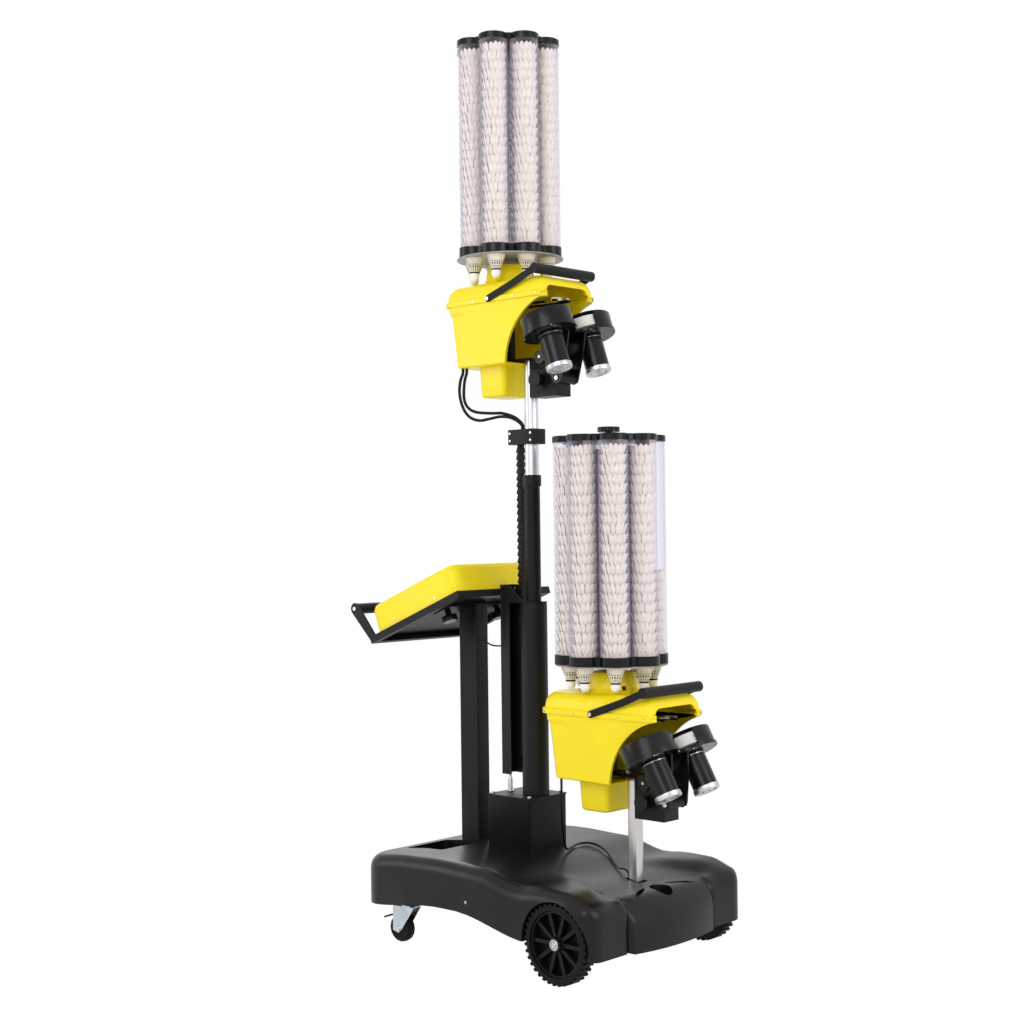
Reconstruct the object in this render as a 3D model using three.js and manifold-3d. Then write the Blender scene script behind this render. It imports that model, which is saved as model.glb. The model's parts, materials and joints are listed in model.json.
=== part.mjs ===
// Two-head badminton shuttlecock machine on a moulded cart, in millimetres.
// Origin on the floor at the middle of its length and width. +X is the way it throws, +Z is up.
import * as THREE from "three";
import { mergeVertices } from "three/addons/utils/BufferGeometryUtils.js";
import Module from "manifold-3d";

const wasm = await Module();
wasm.setup();

// Fits
const seatGap = 0.3;
const runGap = 0.3;
const overrun = 6;
const mergeStep = 0.0001;
const slimStep = 0.02;

// Facet counts
const wideSides = 24;
const drumSides = 20;
const roundSides = 16;
const tubeSides = 10;
const smallSides = 10;
const shuttleSides = 8;
const cornerSteps = 3;

// Cart cover
const halfLength = 522.5;
const halfWidth = 321;
const coverRearX = -348;
const coverWall = 4;
const ceilingSlack = 2.5;
const deckHeight = 258;
const fenderFrontInset = 29;
const noseHalfWidth = 165;
const noseBulge = 18;
const noseGroove = 6;
const noseGrooveWidth = 14;
const rearCornerRadius = 80;
const frontCornerRadius = 45;
const sideFillet = 38;
const noseFillet = 60;
const fenderFillet = 32;
const fenderBlend = 30;
const fenderInnerStart = 132;
const fenderInnerEnd = 250;
const fenderInnerStartX = 275;
const fenderInnerEndX = 507;

// Deck features
const pocketFrontX = -140;
const pocketRearX = -285;
const pocketInnerY = 46;
const pocketOuterY = 202;
const pocketDepth = 45;
const pocketCorner = 14;
const cupX = 460;
const cupRadius = 30;
const cupDepth = 38;
const scoopX = 455;
const scoopY = 80;
const scoopTurn = 66;
const scoopHalfLength = 46;
const scoopHalfWidth = 7;
const scoopDepth = 9;

// Wheels
const wheelX = 372;
const wheelRadius = 101.6;
const wheelWidth = 40;
const wheelFaceY = 316;
const tyreDepth = 19;
const lugDepth = 3.5;
const lugCount = 18;
const spokeCount = 10;
const spokeWidth = 10;
const spokeInset = 5;
const hubRadius = 24;
const hubBoreRadius = 10;
const archGap = 4;
const axleSlack = 1.5;
const wheelWeb = 4;

// Casters
const casterX = -214;
const casterY = 255;
const casterRadius = 37.5;
const casterWidth = 30;
const casterTrail = 26;
const casterPlateTop = 108;
const casterTurn = 8;
const forkWall = 3;
const forkGap = 1.2;
const casterAxleRadius = 5;
const casterStemRadius = 24;
const casterRace = 7;
const casterPadHalfX = 44;
const casterPadHalfY = 33;
const brakeThickness = 5;
const brakeReach = 34;

// Cart frame
const railY = 190;
const railWidth = 40;
const railHeight = 26;
const frameTop = 139;
const frameRearX = -318;
const frameFrontX = 452;
const casterPad = 4;
const axleBlock = 34;

// Lift box and mast
const boxX = -6;
const boxHalfX = 78;
const boxHalfY = 75.5;
const boxTop = 399;
const boxLid = 4;
const boxLidLip = 2;
const boxWall = 3;
const mastX = 28;
const outerTubeRadius = 37;
const outerTubeWall = 3.5;
const outerTubeTop = 926;
const innerTubeRadius = 21;
const innerTubeWall = 1.7;
const innerTubeTop = 1280;
const collarRadius = 25;
const collarHeight = 31;
const headTubeRadius = 19;
const headTubeWall = 2.5;
const headTubeBottom = 640;
const connectorRadius = 7;
const connectorHeight = 34;
const connectorY = -40;
const connectorLeadRadius = 4;

// Cable clamp block and drag chain
const blockBottom = 1365;
const blockHeight = 42;
const blockRear = 68;
const blockFront = 30;
const blockHalfY = 25.5;
const chainRear = 64;
const chainFront = 46;
const chainNearY = 3;
const chainFarY = 25;
const chainBottom = 482;
const linkPitch = 19.2;
const linkNeckInset = 3;
const linkNeckShare = 0.16;

// Chain channel
const channelRear = 104;
const channelFront = 70;
const channelHalfY = 25;
const channelWall = 2.5;
const channelBottom = 449;
const channelTop = 976;
const gussetThickness = 4;
const channelHoleRadius = 4;

// Console
const trayFrontX = -77;
const trayFrontZ = 946;
const traySlope = 21.3;
const trayLength = 385;
const trayHalfWidth = 187;
const trayHeight = 20;
const trayPlate = 4;
const trayLip = 18;
const trayWall = 3;
const consoleHeight = 84;
const consoleHalfWidth = 179;
const consoleRearInset = 18;
const consoleFrontInset = 4;
const consoleCorner = 34;
const consoleEdge = 16;
const panelLength = 214;
const panelHalfWidth = 138;
const panelThickness = 4;
const panelCorner = 10;
const panelFromRear = 66;
const switchLength = 24;
const switchHalfWidth = 9;
const switchHeight = 9;
const switchBedDepth = 7;
const switchY = -112;
const switchFromRear = 34;
const handleX = -507;
const handleZ = 905;
const barRadius = 15.5;
const armThickness = 6;
const armEnd = 17;
const armFoot = 22;
const postX = -207;
const postHalfX = 35.5;
const postHalfY = 23.5;
const postCorner = 4;
const saddleHalfX = 34;
const saddleHalfY = 124;
const saddleThickness = 6;
const knobY = 100;
const knobRadius = 23;
const knobHeight = 17;
const knobStemRadius = 9;
const knobStemLength = 16;
const knobLobes = 8;
const knobLobeDepth = 3;

// Stand post of the front head
const standX = 379;
const standHalf = 14.5;
const standClearanceX = 9.5;
const standClearanceY = 5.5;
const standBore = 8;

// Heads, from the tube's axis and the housing's bottom
const upperHeadZ = 1583;
const lowerHeadZ = 470;
const upperPitch = 18.5;
const lowerPitch = 29;
const bodyRear = 232;
const bodyRearBottom = 208;
const bodyHalfWidth = 109;
const bodyHalfWidthBottom = 107;
const bodyHeight = 180;
const bodyWall = 4;
const bodyRearCorner = 38;
const bodyFrontCorner = 14;
const bottomEdge = 5;
const reliefDepth = 4;
const arcX = 188;
const arcZ = -11;
const arcRadius = 187;
const sumpRear = 146;
const sumpFront = 46;
const sumpHalfWidth = 60;
const sumpDepth = 84;
const sumpCorner = 13;
const sumpTaper = 4;
const tubeHoleRadius = 24;
const lidTop = 230;
const lidFlange = 5;
const lidFlangeDrop = 8;
const lidFront = 141;
const lidRear = 240;
const lidEdge = 34;
const windowHalfWidth = 84;
const windowLow = 112;
const windowTop = 203;
const windowCorner = 22;
const feedX = 36;
const feedRadius = 40;
const neckRadius = 66;
const neckTopRadius = 60;
const neckTop = 283;
const neckWall = 4;
const neckPort = 13;

// Head frame
const spindleX = -74;
const framePlateZ = 12.3;
const framePlate = 6;
const frameHalfY = 30;
const frameFront = 119;
const dropFront = 28;
const dropRear = 22;
const blockLow = -92;
const blockHigh = -16;
const pivotX = 128;
const pivotZ = -45;
const pivotPin = 5;
const lugRadius = 13;
const tiltMotorX = 62;
const tiltMotorRadius = 21;
const tiltMotorReach = 56;
const tiltBarrelRadius = 15;
const spindleRadius = 12;
const spindleTip = 8;
const guideZ = 164;
const guideHeight = 6;
const guideInnerY = 24;
const guideOuterY = 31;
const guideRear = -8;
const guideFront = 122;
const yawPinLength = 30;

// Magazine, from its own axis
const ringBottom = 303;
const magazineHeight = 602;
const tubeCircle = 109;
const tubeRadius = 40;
const tubeWall = 2.5;
const lobeRadius = 41.5;
const ringHeight = 25;
const lidThickness = 17;
const lidChamfer = 2;
const tubesPerHead = 8;
const upperFills = [1, 1, 1, 1, 1, 1, 1, 1];
const lowerFills = [1, 0.43, 1, 1, 1, 1, 1, 1];
const lobeSteps = 4;
const lobeSpread = 2.8;
const discRadius = 149;
const discThickness = 3;
const hubWidth = 22;
const rodRadius = 5;
const topKnobRadius = 30;
const topKnobHeight = 13;
const topKnobStem = 11;
const topKnobRise = 10;
const topKnobLobes = 9;
const corkRadius = 13;
const corkLength = 25;
const corkBottom = 236;
const skirtRadius = 33;
const skirtLength = 61;
const stackRadius = 32;
const stackTopGap = 6;

// Bail handle
const bailX = -50;
const bailZ = 180;
const bailReach = 173;
const bailBar = 19;
const bailThickness = 4;
const bailGap = 0.6;
const bailGripRadius = 14;
const bailPinRadius = 5;

// Launcher, from its pivot
const wheelSpread = 80;
const wheelForward = 53;
const plateLow = 103;
const plateThickness = 8;
const drumRadius = 71;
const drumWall = 3;
const drumHeight = 46;
const drumWindowHalf = 46;
const plateLip = 3;
const waistRear = 45;
const waistFront = 30;
const cheekInner = 31;
const cheekThickness = 6;
const cheekFoot = 14;
const linkDiscX = -30;
const linkDiscZ = 74;
const linkDiscRadius = 19;
const linkDiscWidth = 11;
const flyRadius = 66.5;
const flyHeight = 34;
const flyLift = 4;
const flyGroove = 3;
const flyWeb = 10;
const motorRadius = 34;
const motorLength = 104;
const motorCap = 10;
const motorCapLip = 1.5;
const motorShaft = 5;

// Feeder claw
const clawFront = 127;
const clawLength = 42;
const clawThickness = 4;
const clawGap = 20;
const clawGapDepth = 24;
const clawCheek = 4;
const clawCheekLength = 26;

// Cables, with their routes chosen by hand
const headCableRadius = 4.2;
const deckCableRadius = 3.2;
const consoleCableRadius = 2.2;
const cableSides = 8;
const cableStep = 4;
const upperRouteA = [
  [-156, -82, 1582.7], [-156, -82, 1570], [-162, -87, 1546], [-163, -89, 1510], [-153, -85, 1471], [-136,
    -76, 1446],
  [-112, -63, 1436], [-85, -49, 1440], [-58, -35, 1445], [-34, -22, 1442], [-14, -11, 1431], [-3, -5,
    1418], [-3, -5, 1407.3],
];
const upperRouteB = [
  [-150, -73, 1582.7], [-150, -73, 1570], [-155, -77, 1546], [-156, -79, 1503], [-147, -75, 1476], [-127,
    -64, 1461],
  [-90, -42, 1456], [-60, -25, 1455], [-33, -9, 1445], [-17, 2, 1431], [-9, 6, 1418], [-9, 6, 1407.3],
];
const lowerRoute = [
  [195, -82, 469.7], [195, -82, 455], [193, -80, 430], [186, -72, 392], [176, -58, 348], [163, -40, 306],
    [151, -20, 275],
  [141, 0, 261.5], [128, 32, 260], [114, 68, 260.5], [110, 96, 260], [122, 116, 258.5], [150, 120, 254],
    [187, 106, 247],
  [226, 82, 237], [266, 54, 229], [300, 30, 227], [328, 13, 232], [347, 3, 230], [358, -3, 221], [360.4,
    -5, 203],
  [360.4, -6, 170], [360.4, -6, 139.3],
];
const consoleRoute = [
  [-120, -60, 946], [-114.9, -60, 933], [-110, -62, 915], [-108, -66, 890], [-110, -70, 865], [-112, -66,
    840], [-108, -54, 819],
  [-100, -36, 807], [-93, -20, 804], [-85, -8, 804], [-76.3, -8, 804],
];

const rad = THREE.MathUtils.degToRad;
const turn = 2 * Math.PI;

// Solids from three.js geometry
function solidOf(geometry) {
  const loose = geometry.index ? geometry.toNonIndexed() : geometry;
  const bare = new THREE.BufferGeometry().setAttribute("position", loose.getAttribute("position"));
  const merged = mergeVertices(bare, mergeStep);
  const tris = [];
  const index = merged.index.array;
  for (let i = 0; i < index.length; i += 3) {
    const [a, b, c] = [index[i], index[i + 1], index[i + 2]];
    if (a !== b && b !== c && c !== a) tris.push(a, b, c);
  }
  const build = (list) =>
    new wasm.Manifold(
      new wasm.Mesh({
        numProp: 3,
        vertProperties: merged.attributes.position.array,
        triVerts: new Uint32Array(list),
      }),
    );
  const made = build(tris);
  return made.volume() < 0 ? build(tris.reverse()) : made;
}

function join(...solids) {
  return solids.reduce((a, b) => a.add(b));
}

function cut(solid, ...tools) {
  return tools.reduce((a, b) => a.subtract(b), solid);
}

function box(x0, x1, y0, y1, z0, z1) {
  const g = new THREE.BoxGeometry(x1 - x0, y1 - y0, z1 - z0);
  return solidOf(g.translate((x0 + x1) / 2, (y0 + y1) / 2, (z0 + z1) / 2));
}

// Solid of revolution about Z: a profile of [radius, height]
function revolve(profile, sides) {
  const points = profile.map(([r, z]) => new THREE.Vector2(r, z));
  return solidOf(new THREE.LatheGeometry(points, sides).rotateX(Math.PI / 2));
}

function revolveClosed(profile, sides) {
  return revolve([...profile, profile[0]], sides);
}

// The largest round thing that turns freely in a faceted bore
function innerReach(radius, sides) {
  return radius * Math.cos(Math.PI / sides);
}

function cylinder(radius, z0, z1, sides = roundSides) {
  return revolve([[0, z0], [radius, z0], [radius, z1], [0, z1]], sides);
}

// A cylinder along Y, between two places
function crossPin(x, z, radius, y0, y1, sides = roundSides) {
  return moved(cylinder(radius, -y1, -y0, sides), { turnX: Math.PI / 2, x, z });
}

function moved(solid, { x = 0, y = 0, z = 0, turnX = 0, turnY = 0, turnZ = 0 }) {
  const matrix = new THREE.Matrix4().makeRotationFromEuler(new THREE.Euler(turnX, turnY, turnZ));
  matrix.setPosition(x, y, z);
  return solid.transform(matrix.toArray());
}

function shapeOf(points) {
  return new THREE.Shape(points.map(([a, b]) => new THREE.Vector2(a, b)));
}

function roundedRect(a0, a1, b0, b1, radius) {
  const s = new THREE.Shape();
  s.moveTo(a0 + radius, b0);
  s.lineTo(a1 - radius, b0);
  s.absarc(a1 - radius, b0 + radius, radius, -Math.PI / 2, 0);
  s.lineTo(a1, b1 - radius);
  s.absarc(a1 - radius, b1 - radius, radius, 0, Math.PI / 2);
  s.lineTo(a0 + radius, b1);
  s.absarc(a0 + radius, b1 - radius, radius, Math.PI / 2, Math.PI);
  s.lineTo(a0, b0 + radius);
  s.absarc(a0 + radius, b0 + radius, radius, Math.PI, 1.5 * Math.PI);
  return s;
}

function extrude(shape, depth, curveSegments = cornerSteps) {
  return new THREE.ExtrudeGeometry(shape, { depth, bevelEnabled: false, curveSegments });
}

// A plan outline raised from z0 to z1
function raised(shape, z0, z1, steps) {
  return solidOf(extrude(shape, z1 - z0, steps).translate(0, 0, z0));
}

// A side outline in X and Z, pulled from y0 to y1
function sideways(shape, y0, y1, steps) {
  return solidOf(extrude(shape, y1 - y0, steps).rotateX(Math.PI / 2).translate(0, y1, 0));
}

// Rings of equal length skinned into one closed solid, with fans over the two end rings
function loft(rings) {
  const n = rings[0].length;
  const positions = [];
  const push = (...p) => p.forEach((v) => positions.push(v[0], v[1], v[2]));
  for (let r = 0; r + 1 < rings.length; r++)
    for (let k = 0; k < n; k++) {
      const m = (k + 1) % n;
      push(rings[r][k], rings[r][m], rings[r + 1][m], rings[r][k], rings[r + 1][m], rings[r + 1][k]);
    }
  const middle = (ring) => [0, 1, 2].map((i) => ring.reduce((s, p) => s + p[i], 0) / n);
  const first = middle(rings[0]);
  const lastRing = rings[rings.length - 1];
  const last = middle(lastRing);
  for (let k = 0; k < n; k++) {
    const m = (k + 1) % n;
    push(first, rings[0][m], rings[0][k], last, lastRing[k], lastRing[m]);
  }
  const g = new THREE.BufferGeometry();
  g.setAttribute("position", new THREE.Float32BufferAttribute(positions, 3));
  return solidOf(g);
}

// A rounded-rectangle ring at height z; the rear and front corners have their own radii
function plate4(x0, x1, halfY, rearRadius, frontRadius, z, steps = cornerSteps) {
  const ring = [];
  const corners = [
    [x1 - frontRadius, -halfY + frontRadius, frontRadius, -0.25],
    [x1 - frontRadius, halfY - frontRadius, frontRadius, 0],
    [x0 + rearRadius, halfY - rearRadius, rearRadius, 0.25],
    [x0 + rearRadius, -halfY + rearRadius, rearRadius, 0.5],
  ];
  for (const [cx, cy, r, start] of corners)
    for (let k = 0; k <= steps; k++) {
      const a = turn * (start + (0.25 * k) / steps);
      ring.push([cx + r * Math.cos(a), cy + r * Math.sin(a), z]);
    }
  return ring;
}

function cable(points, radius) {
  const curve = new THREE.CatmullRomCurve3(points.map((p) => new THREE.Vector3(...p)), false,
    "centripetal");
  const steps = Math.round(curve.getLength() / (2 * cableStep * radius));
  const ring = Array.from({ length: cableSides }, (_, k) => [
    radius * Math.cos((turn * k) / cableSides),
    radius * Math.sin((turn * k) / cableSides),
  ]);
  return solidOf(new THREE.ExtrudeGeometry(shapeOf(ring), { steps, extrudePath: curve }));
}

// Named meshes
function paint(color, roughness, metalness) {
  return { color, roughness, metalness };
}

const finish = {
  cover: paint(0x1b1b20, 0.42, 0),
  powder: paint(0x24252b, 0.5, 0.2),
  yellow: paint(0xf7e21c, 0.38, 0),
  clear: paint(0xe6e0f0, 0.1, 0),
  gloss: paint(0x0e0e10, 0.25, 0),
  steel: paint(0xc9c6c2, 0.28, 1),
  aluminium: paint(0xbfc0c6, 0.35, 1),
  zinc: paint(0xb9c4cc, 0.35, 1),
  rubber: paint(0x17171a, 0.8, 0),
  nylon: paint(0x1d1d21, 0.55, 0),
  foam: paint(0xd8d6cf, 0.7, 0),
  feather: paint(0xf0e6cf, 0.85, 0),
  cable: paint(0x121214, 0.55, 0),
  screen: paint(0x0a0c10, 0.12, 0),
  motor: paint(0x131316, 0.4, 0.3),
};

function part(name, solid, look) {
  const made = solid.simplify(slimStep).getMesh();
  const g = new THREE.BufferGeometry();
  g.setAttribute("position", new THREE.BufferAttribute(new Float32Array(made.vertProperties), 3));
  g.setIndex(new THREE.BufferAttribute(new Uint32Array(made.triVerts), 1));
  g.computeVertexNormals();
  const mesh = new THREE.Mesh(g, new THREE.MeshStandardMaterial({ ...look, flatShading: true }));
  mesh.name = name;
  return mesh;
}

// Values between hand-chosen stations: a smooth step from one to the next
function along(stations, x) {
  if (x <= stations[0][0]) return stations[0][1];
  for (let i = 1; i < stations.length; i++) {
    const [x1, v1] = stations[i];
    const [x0, v0] = stations[i - 1];
    if (x <= x1) {
      const t = (x - x0) / (x1 - x0);
      return v0 + (v1 - v0) * t * t * (3 - 2 * t);
    }
  }
  return stations[stations.length - 1][1];
}

// Heights of the deck's middle, its fenders and its lower rim, as shares of the half length and deck height
const deckShares = [[-0.66, 0.92], [-0.3, 0.985], [-0.2, 1], [0.19, 1], [0.6, 0.845], [0.88, 0.79], [1,
  0.72]];
const fenderShares = [[-0.66, 0.92], [-0.3, 0.985], [-0.1, 1], [0.2, 0.985], [0.48, 0.88], [0.62, 0.905],
  [0.76, 0.9], [0.95, 0.8]];
const rimShares = [[-0.6, 0.41], [-0.05, 0.52], [0.05, 0.52], [0.55, 0.36], [0.86, 0.3], [1, 0.27]];
const rowShares = [0, 0.3, 0.44, 0.51, 0.535, 0.56, 0.7, 0.84, 0.92, 0.975, 1];
const columnShares = [0, 0.02, 0.06, 0.16, 0.3, 0.42, 0.55, 0.62, 0.7, 0.78, 0.86, 0.92, 0.96, 1];
const innerRowShares = [0, 0.3, 0.44, 0.51, 0.535, 0.56, 0.7, 0.84, 0.975, 1];
const innerColumnShares = [0, 0.02, 0.06, 0.16, 0.3, 0.42, 0.55, 0.62, 0.7, 0.78, 0.86, 0.96, 1];

const scaled = (shares, a, b) => shares.map(([s, t]) => [s * a, t * b]);
const deckLine = scaled(deckShares, halfLength, deckHeight);
const fenderLine = scaled(fenderShares, halfLength, deckHeight);
const rimLine = scaled(rimShares, halfLength, deckHeight);

function rearEdge(y) {
  const over = Math.abs(y) - (halfWidth - rearCornerRadius);
  if (over <= 0) return coverRearX;
  return coverRearX + rearCornerRadius - Math.sqrt(Math.max(0, rearCornerRadius ** 2 - over ** 2));
}

function frontEdge(y) {
  const a = Math.abs(y);
  const fenderFront = halfLength - fenderFrontInset;
  if (a <= noseHalfWidth) return halfLength - noseBulge * (a / noseHalfWidth) ** 2;
  if (a <= noseHalfWidth + noseGrooveWidth) return fenderFront - noseGroove;
  const over = a - (halfWidth - frontCornerRadius);
  if (over <= 0) return fenderFront;
  return fenderFront - frontCornerRadius + Math.sqrt(Math.max(0, frontCornerRadius ** 2 - over ** 2));
}

function deckAt(x, y) {
  const t = (x - fenderInnerStartX) / (fenderInnerEndX - fenderInnerStartX);
  const inner = fenderInnerStart + (fenderInnerEnd - fenderInnerStart) * t;
  const side = THREE.MathUtils.smoothstep(Math.abs(y), inner - fenderBlend, inner + fenderBlend);
  return along(deckLine, x) * (1 - side) + along(fenderLine, x) * side;
}

function filletDrop(radius, distance) {
  if (distance >= radius) return 0;
  return radius - Math.sqrt(radius ** 2 - (radius - Math.max(0, distance)) ** 2);
}

function sideDistance(x, y) {
  const dx = coverRearX + rearCornerRadius - x;
  const dy = Math.abs(y) - (halfWidth - rearCornerRadius);
  return rearCornerRadius - (dx > 0 && dy > 0 ? Math.hypot(dx, dy) : Math.max(dx, dy));
}

function coverTop(x, y) {
  const front = frontEdge(y) - x;
  const frontFillet = Math.abs(y) <= noseHalfWidth ? noseFillet : fenderFillet;
  const drop = Math.max(filletDrop(sideFillet, sideDistance(x, y)), filletDrop(frontFillet, front));
  return deckAt(x, y) - drop;
}

// The cover's outer skin, or the hollow inside it when inset by the wall
function coverForm(inset, bottomDrop, rows, columns) {
  const ys = [...rows.slice(1).reverse().map((s) => -s), ...rows].map((s) => s * halfWidth);
  const top = [];
  const bottom = [];
  for (const y of ys) {
    const rear = rearEdge(y);
    const front = frontEdge(y);
    const rowTop = [];
    const rowBottom = [];
    for (const s of columns) {
      const x = rear + (front - rear) * s;
      const xi = rear + inset + (front - rear - 2 * inset) * s;
      const yi = (y * (halfWidth - inset)) / halfWidth;
      rowTop.push([xi, yi, coverTop(x, y) - (inset ? inset + ceilingSlack : 0)]);
      rowBottom.push([xi, yi, along(rimLine, x) - bottomDrop]);
    }
    top.push(rowTop);
    bottom.push(rowBottom);
  }
  return gridSolid(top, bottom);
}

function gridSolid(top, bottom) {
  const positions = [];
  const quad = (a, b, c, d) => [a, b, c, a, c, d].forEach((p) => positions.push(...p));
  const rows = top.length;
  const cols = top[0].length;
  for (let j = 0; j + 1 < rows; j++)
    for (let i = 0; i + 1 < cols; i++) {
      quad(top[j][i], top[j][i + 1], top[j + 1][i + 1], top[j + 1][i]);
      quad(bottom[j][i], bottom[j + 1][i], bottom[j + 1][i + 1], bottom[j][i + 1]);
    }
  for (let i = 0; i + 1 < cols; i++) {
    quad(bottom[0][i], bottom[0][i + 1], top[0][i + 1], top[0][i]);
    const e = rows - 1;
    quad(bottom[e][i + 1], bottom[e][i], top[e][i], top[e][i + 1]);
  }
  for (let j = 0; j + 1 < rows; j++) {
    quad(bottom[j + 1][0], bottom[j][0], top[j][0], top[j + 1][0]);
    const e = cols - 1;
    quad(bottom[j][e], bottom[j + 1][e], top[j + 1][e], top[j][e]);
  }
  const g = new THREE.BufferGeometry();
  g.setAttribute("position", new THREE.Float32BufferAttribute(positions, 3));
  return solidOf(g);
}

function pocketBlock(side, grow) {
  const y0 = side > 0 ? pocketInnerY - grow : -pocketOuterY - grow;
  const y1 = side > 0 ? pocketOuterY + grow : -pocketInnerY + grow;
  const shape = roundedRect(pocketRearX - grow, pocketFrontX + grow, y0, y1, pocketCorner + grow);
  return raised(shape, deckHeight - pocketDepth - grow, deckHeight + overrun);
}

function cupBlock(grow) {
  const floor = coverTop(cupX, 0) - cupDepth - grow;
  return moved(cylinder(cupRadius + grow, floor, deckHeight + overrun), { x: cupX });
}

// A finger scoop beside the cup, a lens in plan that leans towards the nose
function scoopBlock(side, grow) {
  const lens = new THREE.Shape();
  const half = scoopHalfLength + grow;
  lens.moveTo(-half, 0);
  lens.quadraticCurveTo(0, -2 * (scoopHalfWidth + grow), half, 0);
  lens.quadraticCurveTo(0, 2 * (scoopHalfWidth + grow), -half, 0);
  const floor = coverTop(scoopX, scoopY) - scoopDepth - grow;
  const block = raised(lens, floor, deckHeight + overrun, 2 * cornerSteps);
  return moved(block, { x: scoopX, y: side * scoopY, turnZ: side * rad(scoopTurn) });
}

// The space round a wheel, or the moulded well about it when grown by the wall
function wheelWell(side, grow) {
  const inner = wheelFaceY - wheelWidth - archGap - grow;
  const outer = halfWidth + overrun;
  const [y0, y1] = side > 0 ? [inner, outer] : [-outer, -inner];
  return crossPin(wheelX, wheelRadius, wheelRadius + archGap + grow, y0, y1, wideSides);
}

// The slot that lets the axle into the cover from below
function axleSlot() {
  const half = innerReach(hubBoreRadius, smallSides) + axleSlack;
  return join(
    crossPin(wheelX, wheelRadius, half, -halfWidth, halfWidth, smallSides),
    box(wheelX - half, wheelX + half, -halfWidth, halfWidth, 0, wheelRadius),
  );
}

function baseCover() {
  const sides = [1, -1];
  const bowls = (grow) =>
    join(cupBlock(grow), ...sides.map((s) => pocketBlock(s, grow)), ...sides.map((s) => scoopBlock(s,
      grow)),
      ...sides.map((s) => wheelWell(s, grow)));
  const hollow = cut(coverForm(coverWall, overrun, innerRowShares, innerColumnShares), bowls(coverWall));
  const holeX = standHalf + standClearanceX;
  const holeY = standHalf + standClearanceY;
  const tall = [deckHeight / 2, deckHeight + overrun];
  return cut(
    coverForm(0, 0, rowShares, columnShares),
    hollow,
    bowls(0),
    axleSlot(),
    box(standX - holeX, standX + holeX, -holeY, holeY, ...tall),
    box(boxX - boxHalfX - runGap, boxX + boxHalfX + runGap, -boxHalfY - runGap, boxHalfY + runGap, ...tall),
    box(postX - postHalfX - runGap, postX + postHalfX + runGap, -postHalfY - runGap, postHalfY + runGap,
      ...tall),
  );
}

function baseFrame() {
  const low = frameTop - railHeight;
  const rail = (y) => box(frameRearX, frameFrontX, y - railWidth / 2, y + railWidth / 2, low, frameTop);
  const cross = (x, w) => box(x - w / 2, x + w / 2, -railY, railY, low, frameTop);
  const pad = (side) =>
    box(casterX - casterPadHalfX, casterX + casterPadHalfX, side * casterY - casterPadHalfY,
      side * casterY + casterPadHalfY,
      casterPlateTop + seatGap, low + casterPad);
  const padArm = (side) => {
    const [y0, y1] = side > 0 ? [railY, casterY + casterStemRadius] : [-casterY - casterStemRadius, -railY];
    return box(casterX - casterStemRadius, casterX + casterStemRadius, y0, y1, low, low + railWidth / 4);
  };
  const axleRadius = innerReach(hubBoreRadius, smallSides) - runGap;
  const axle = crossPin(wheelX, wheelRadius, axleRadius, -wheelFaceY, wheelFaceY, smallSides);
  const hanger = (y) => box(wheelX - axleBlock / 2, wheelX + axleBlock / 2, y - railWidth / 2,
    y + railWidth / 2,
    wheelRadius - axleBlock / 2, frameTop);
  const socketHalf = standHalf + seatGap;
  return cut(
    join(
      rail(railY), rail(-railY),
      cross(casterX, railWidth), cross(postX + railWidth / 4, 2 * railWidth), cross(boxX, 3 * railWidth),
      cross(standX, 1.5 * railWidth), cross(frameFrontX - railWidth / 2, railWidth),
      pad(1), pad(-1), padArm(1), padArm(-1), axle, hanger(railY), hanger(-railY),
    ),
    box(standX - socketHalf, standX + socketHalf, -socketHalf, socketHalf, low + coverWall,
      frameTop + overrun),
  );
}

// A front wheel about its own axle, outer face towards +Y
function wheelRim() {
  const rimOuter = wheelRadius - tyreDepth;
  const rimInner = rimOuter - spokeInset;
  const half = wheelWidth / 2;
  const rim = revolveClosed(
    [[rimInner, -half + spokeInset], [rimOuter, -half + spokeInset], [rimOuter, half - spokeInset],
      [rimInner, half - spokeInset]],
    lugCount,
  );
  const hub = revolveClosed(
    [[hubBoreRadius, -half], [hubRadius, -half], [hubRadius - spokeInset, half], [hubBoreRadius, half]],
    smallSides,
  );
  const spoke = (k) =>
    moved(box(hubRadius - spokeInset, rimInner + spokeInset / 2, -spokeWidth / 2, spokeWidth / 2,
      -half + spokeInset, half - 2 * spokeInset),
      { turnZ: (turn * k) / spokeCount });
  const spokes = Array.from({ length: spokeCount }, (_, k) => spoke(k));
  const web = revolveClosed(
    [[hubBoreRadius, -half + spokeInset], [rimOuter - spokeInset / 2, -half + spokeInset],
      [rimOuter - spokeInset / 2, -half + spokeInset + wheelWeb], [hubBoreRadius,
        -half + spokeInset + wheelWeb]],
    lugCount,
  );
  return join(rim, cut(web, cylinder(hubBoreRadius, -half, half, smallSides)), hub, ...spokes);
}

function wheelTyre() {
  const half = wheelWidth / 2;
  const inner = wheelRadius - tyreDepth + seatGap;
  const shoulder = wheelRadius - lugDepth;
  const carcass = revolveClosed(
    [[inner, -half + lugDepth], [shoulder - tyreDepth / 3, -half], [shoulder, -half + 2 * lugDepth],
      [shoulder, half - 2 * lugDepth],
      [shoulder - tyreDepth / 3, half], [inner, half - lugDepth]],
    lugCount,
  );
  const pitch = (turn * shoulder) / lugCount;
  const lug = (k) =>
    moved(box(shoulder - lugDepth, wheelRadius, -pitch / 4, pitch / 4, 3 * lugDepth - half,
      half - 3 * lugDepth),
      { turnZ: (turn * (k + 0.5)) / lugCount });
  return join(carcass, ...Array.from({ length: lugCount }, (_, k) => lug(k)));
}

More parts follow.
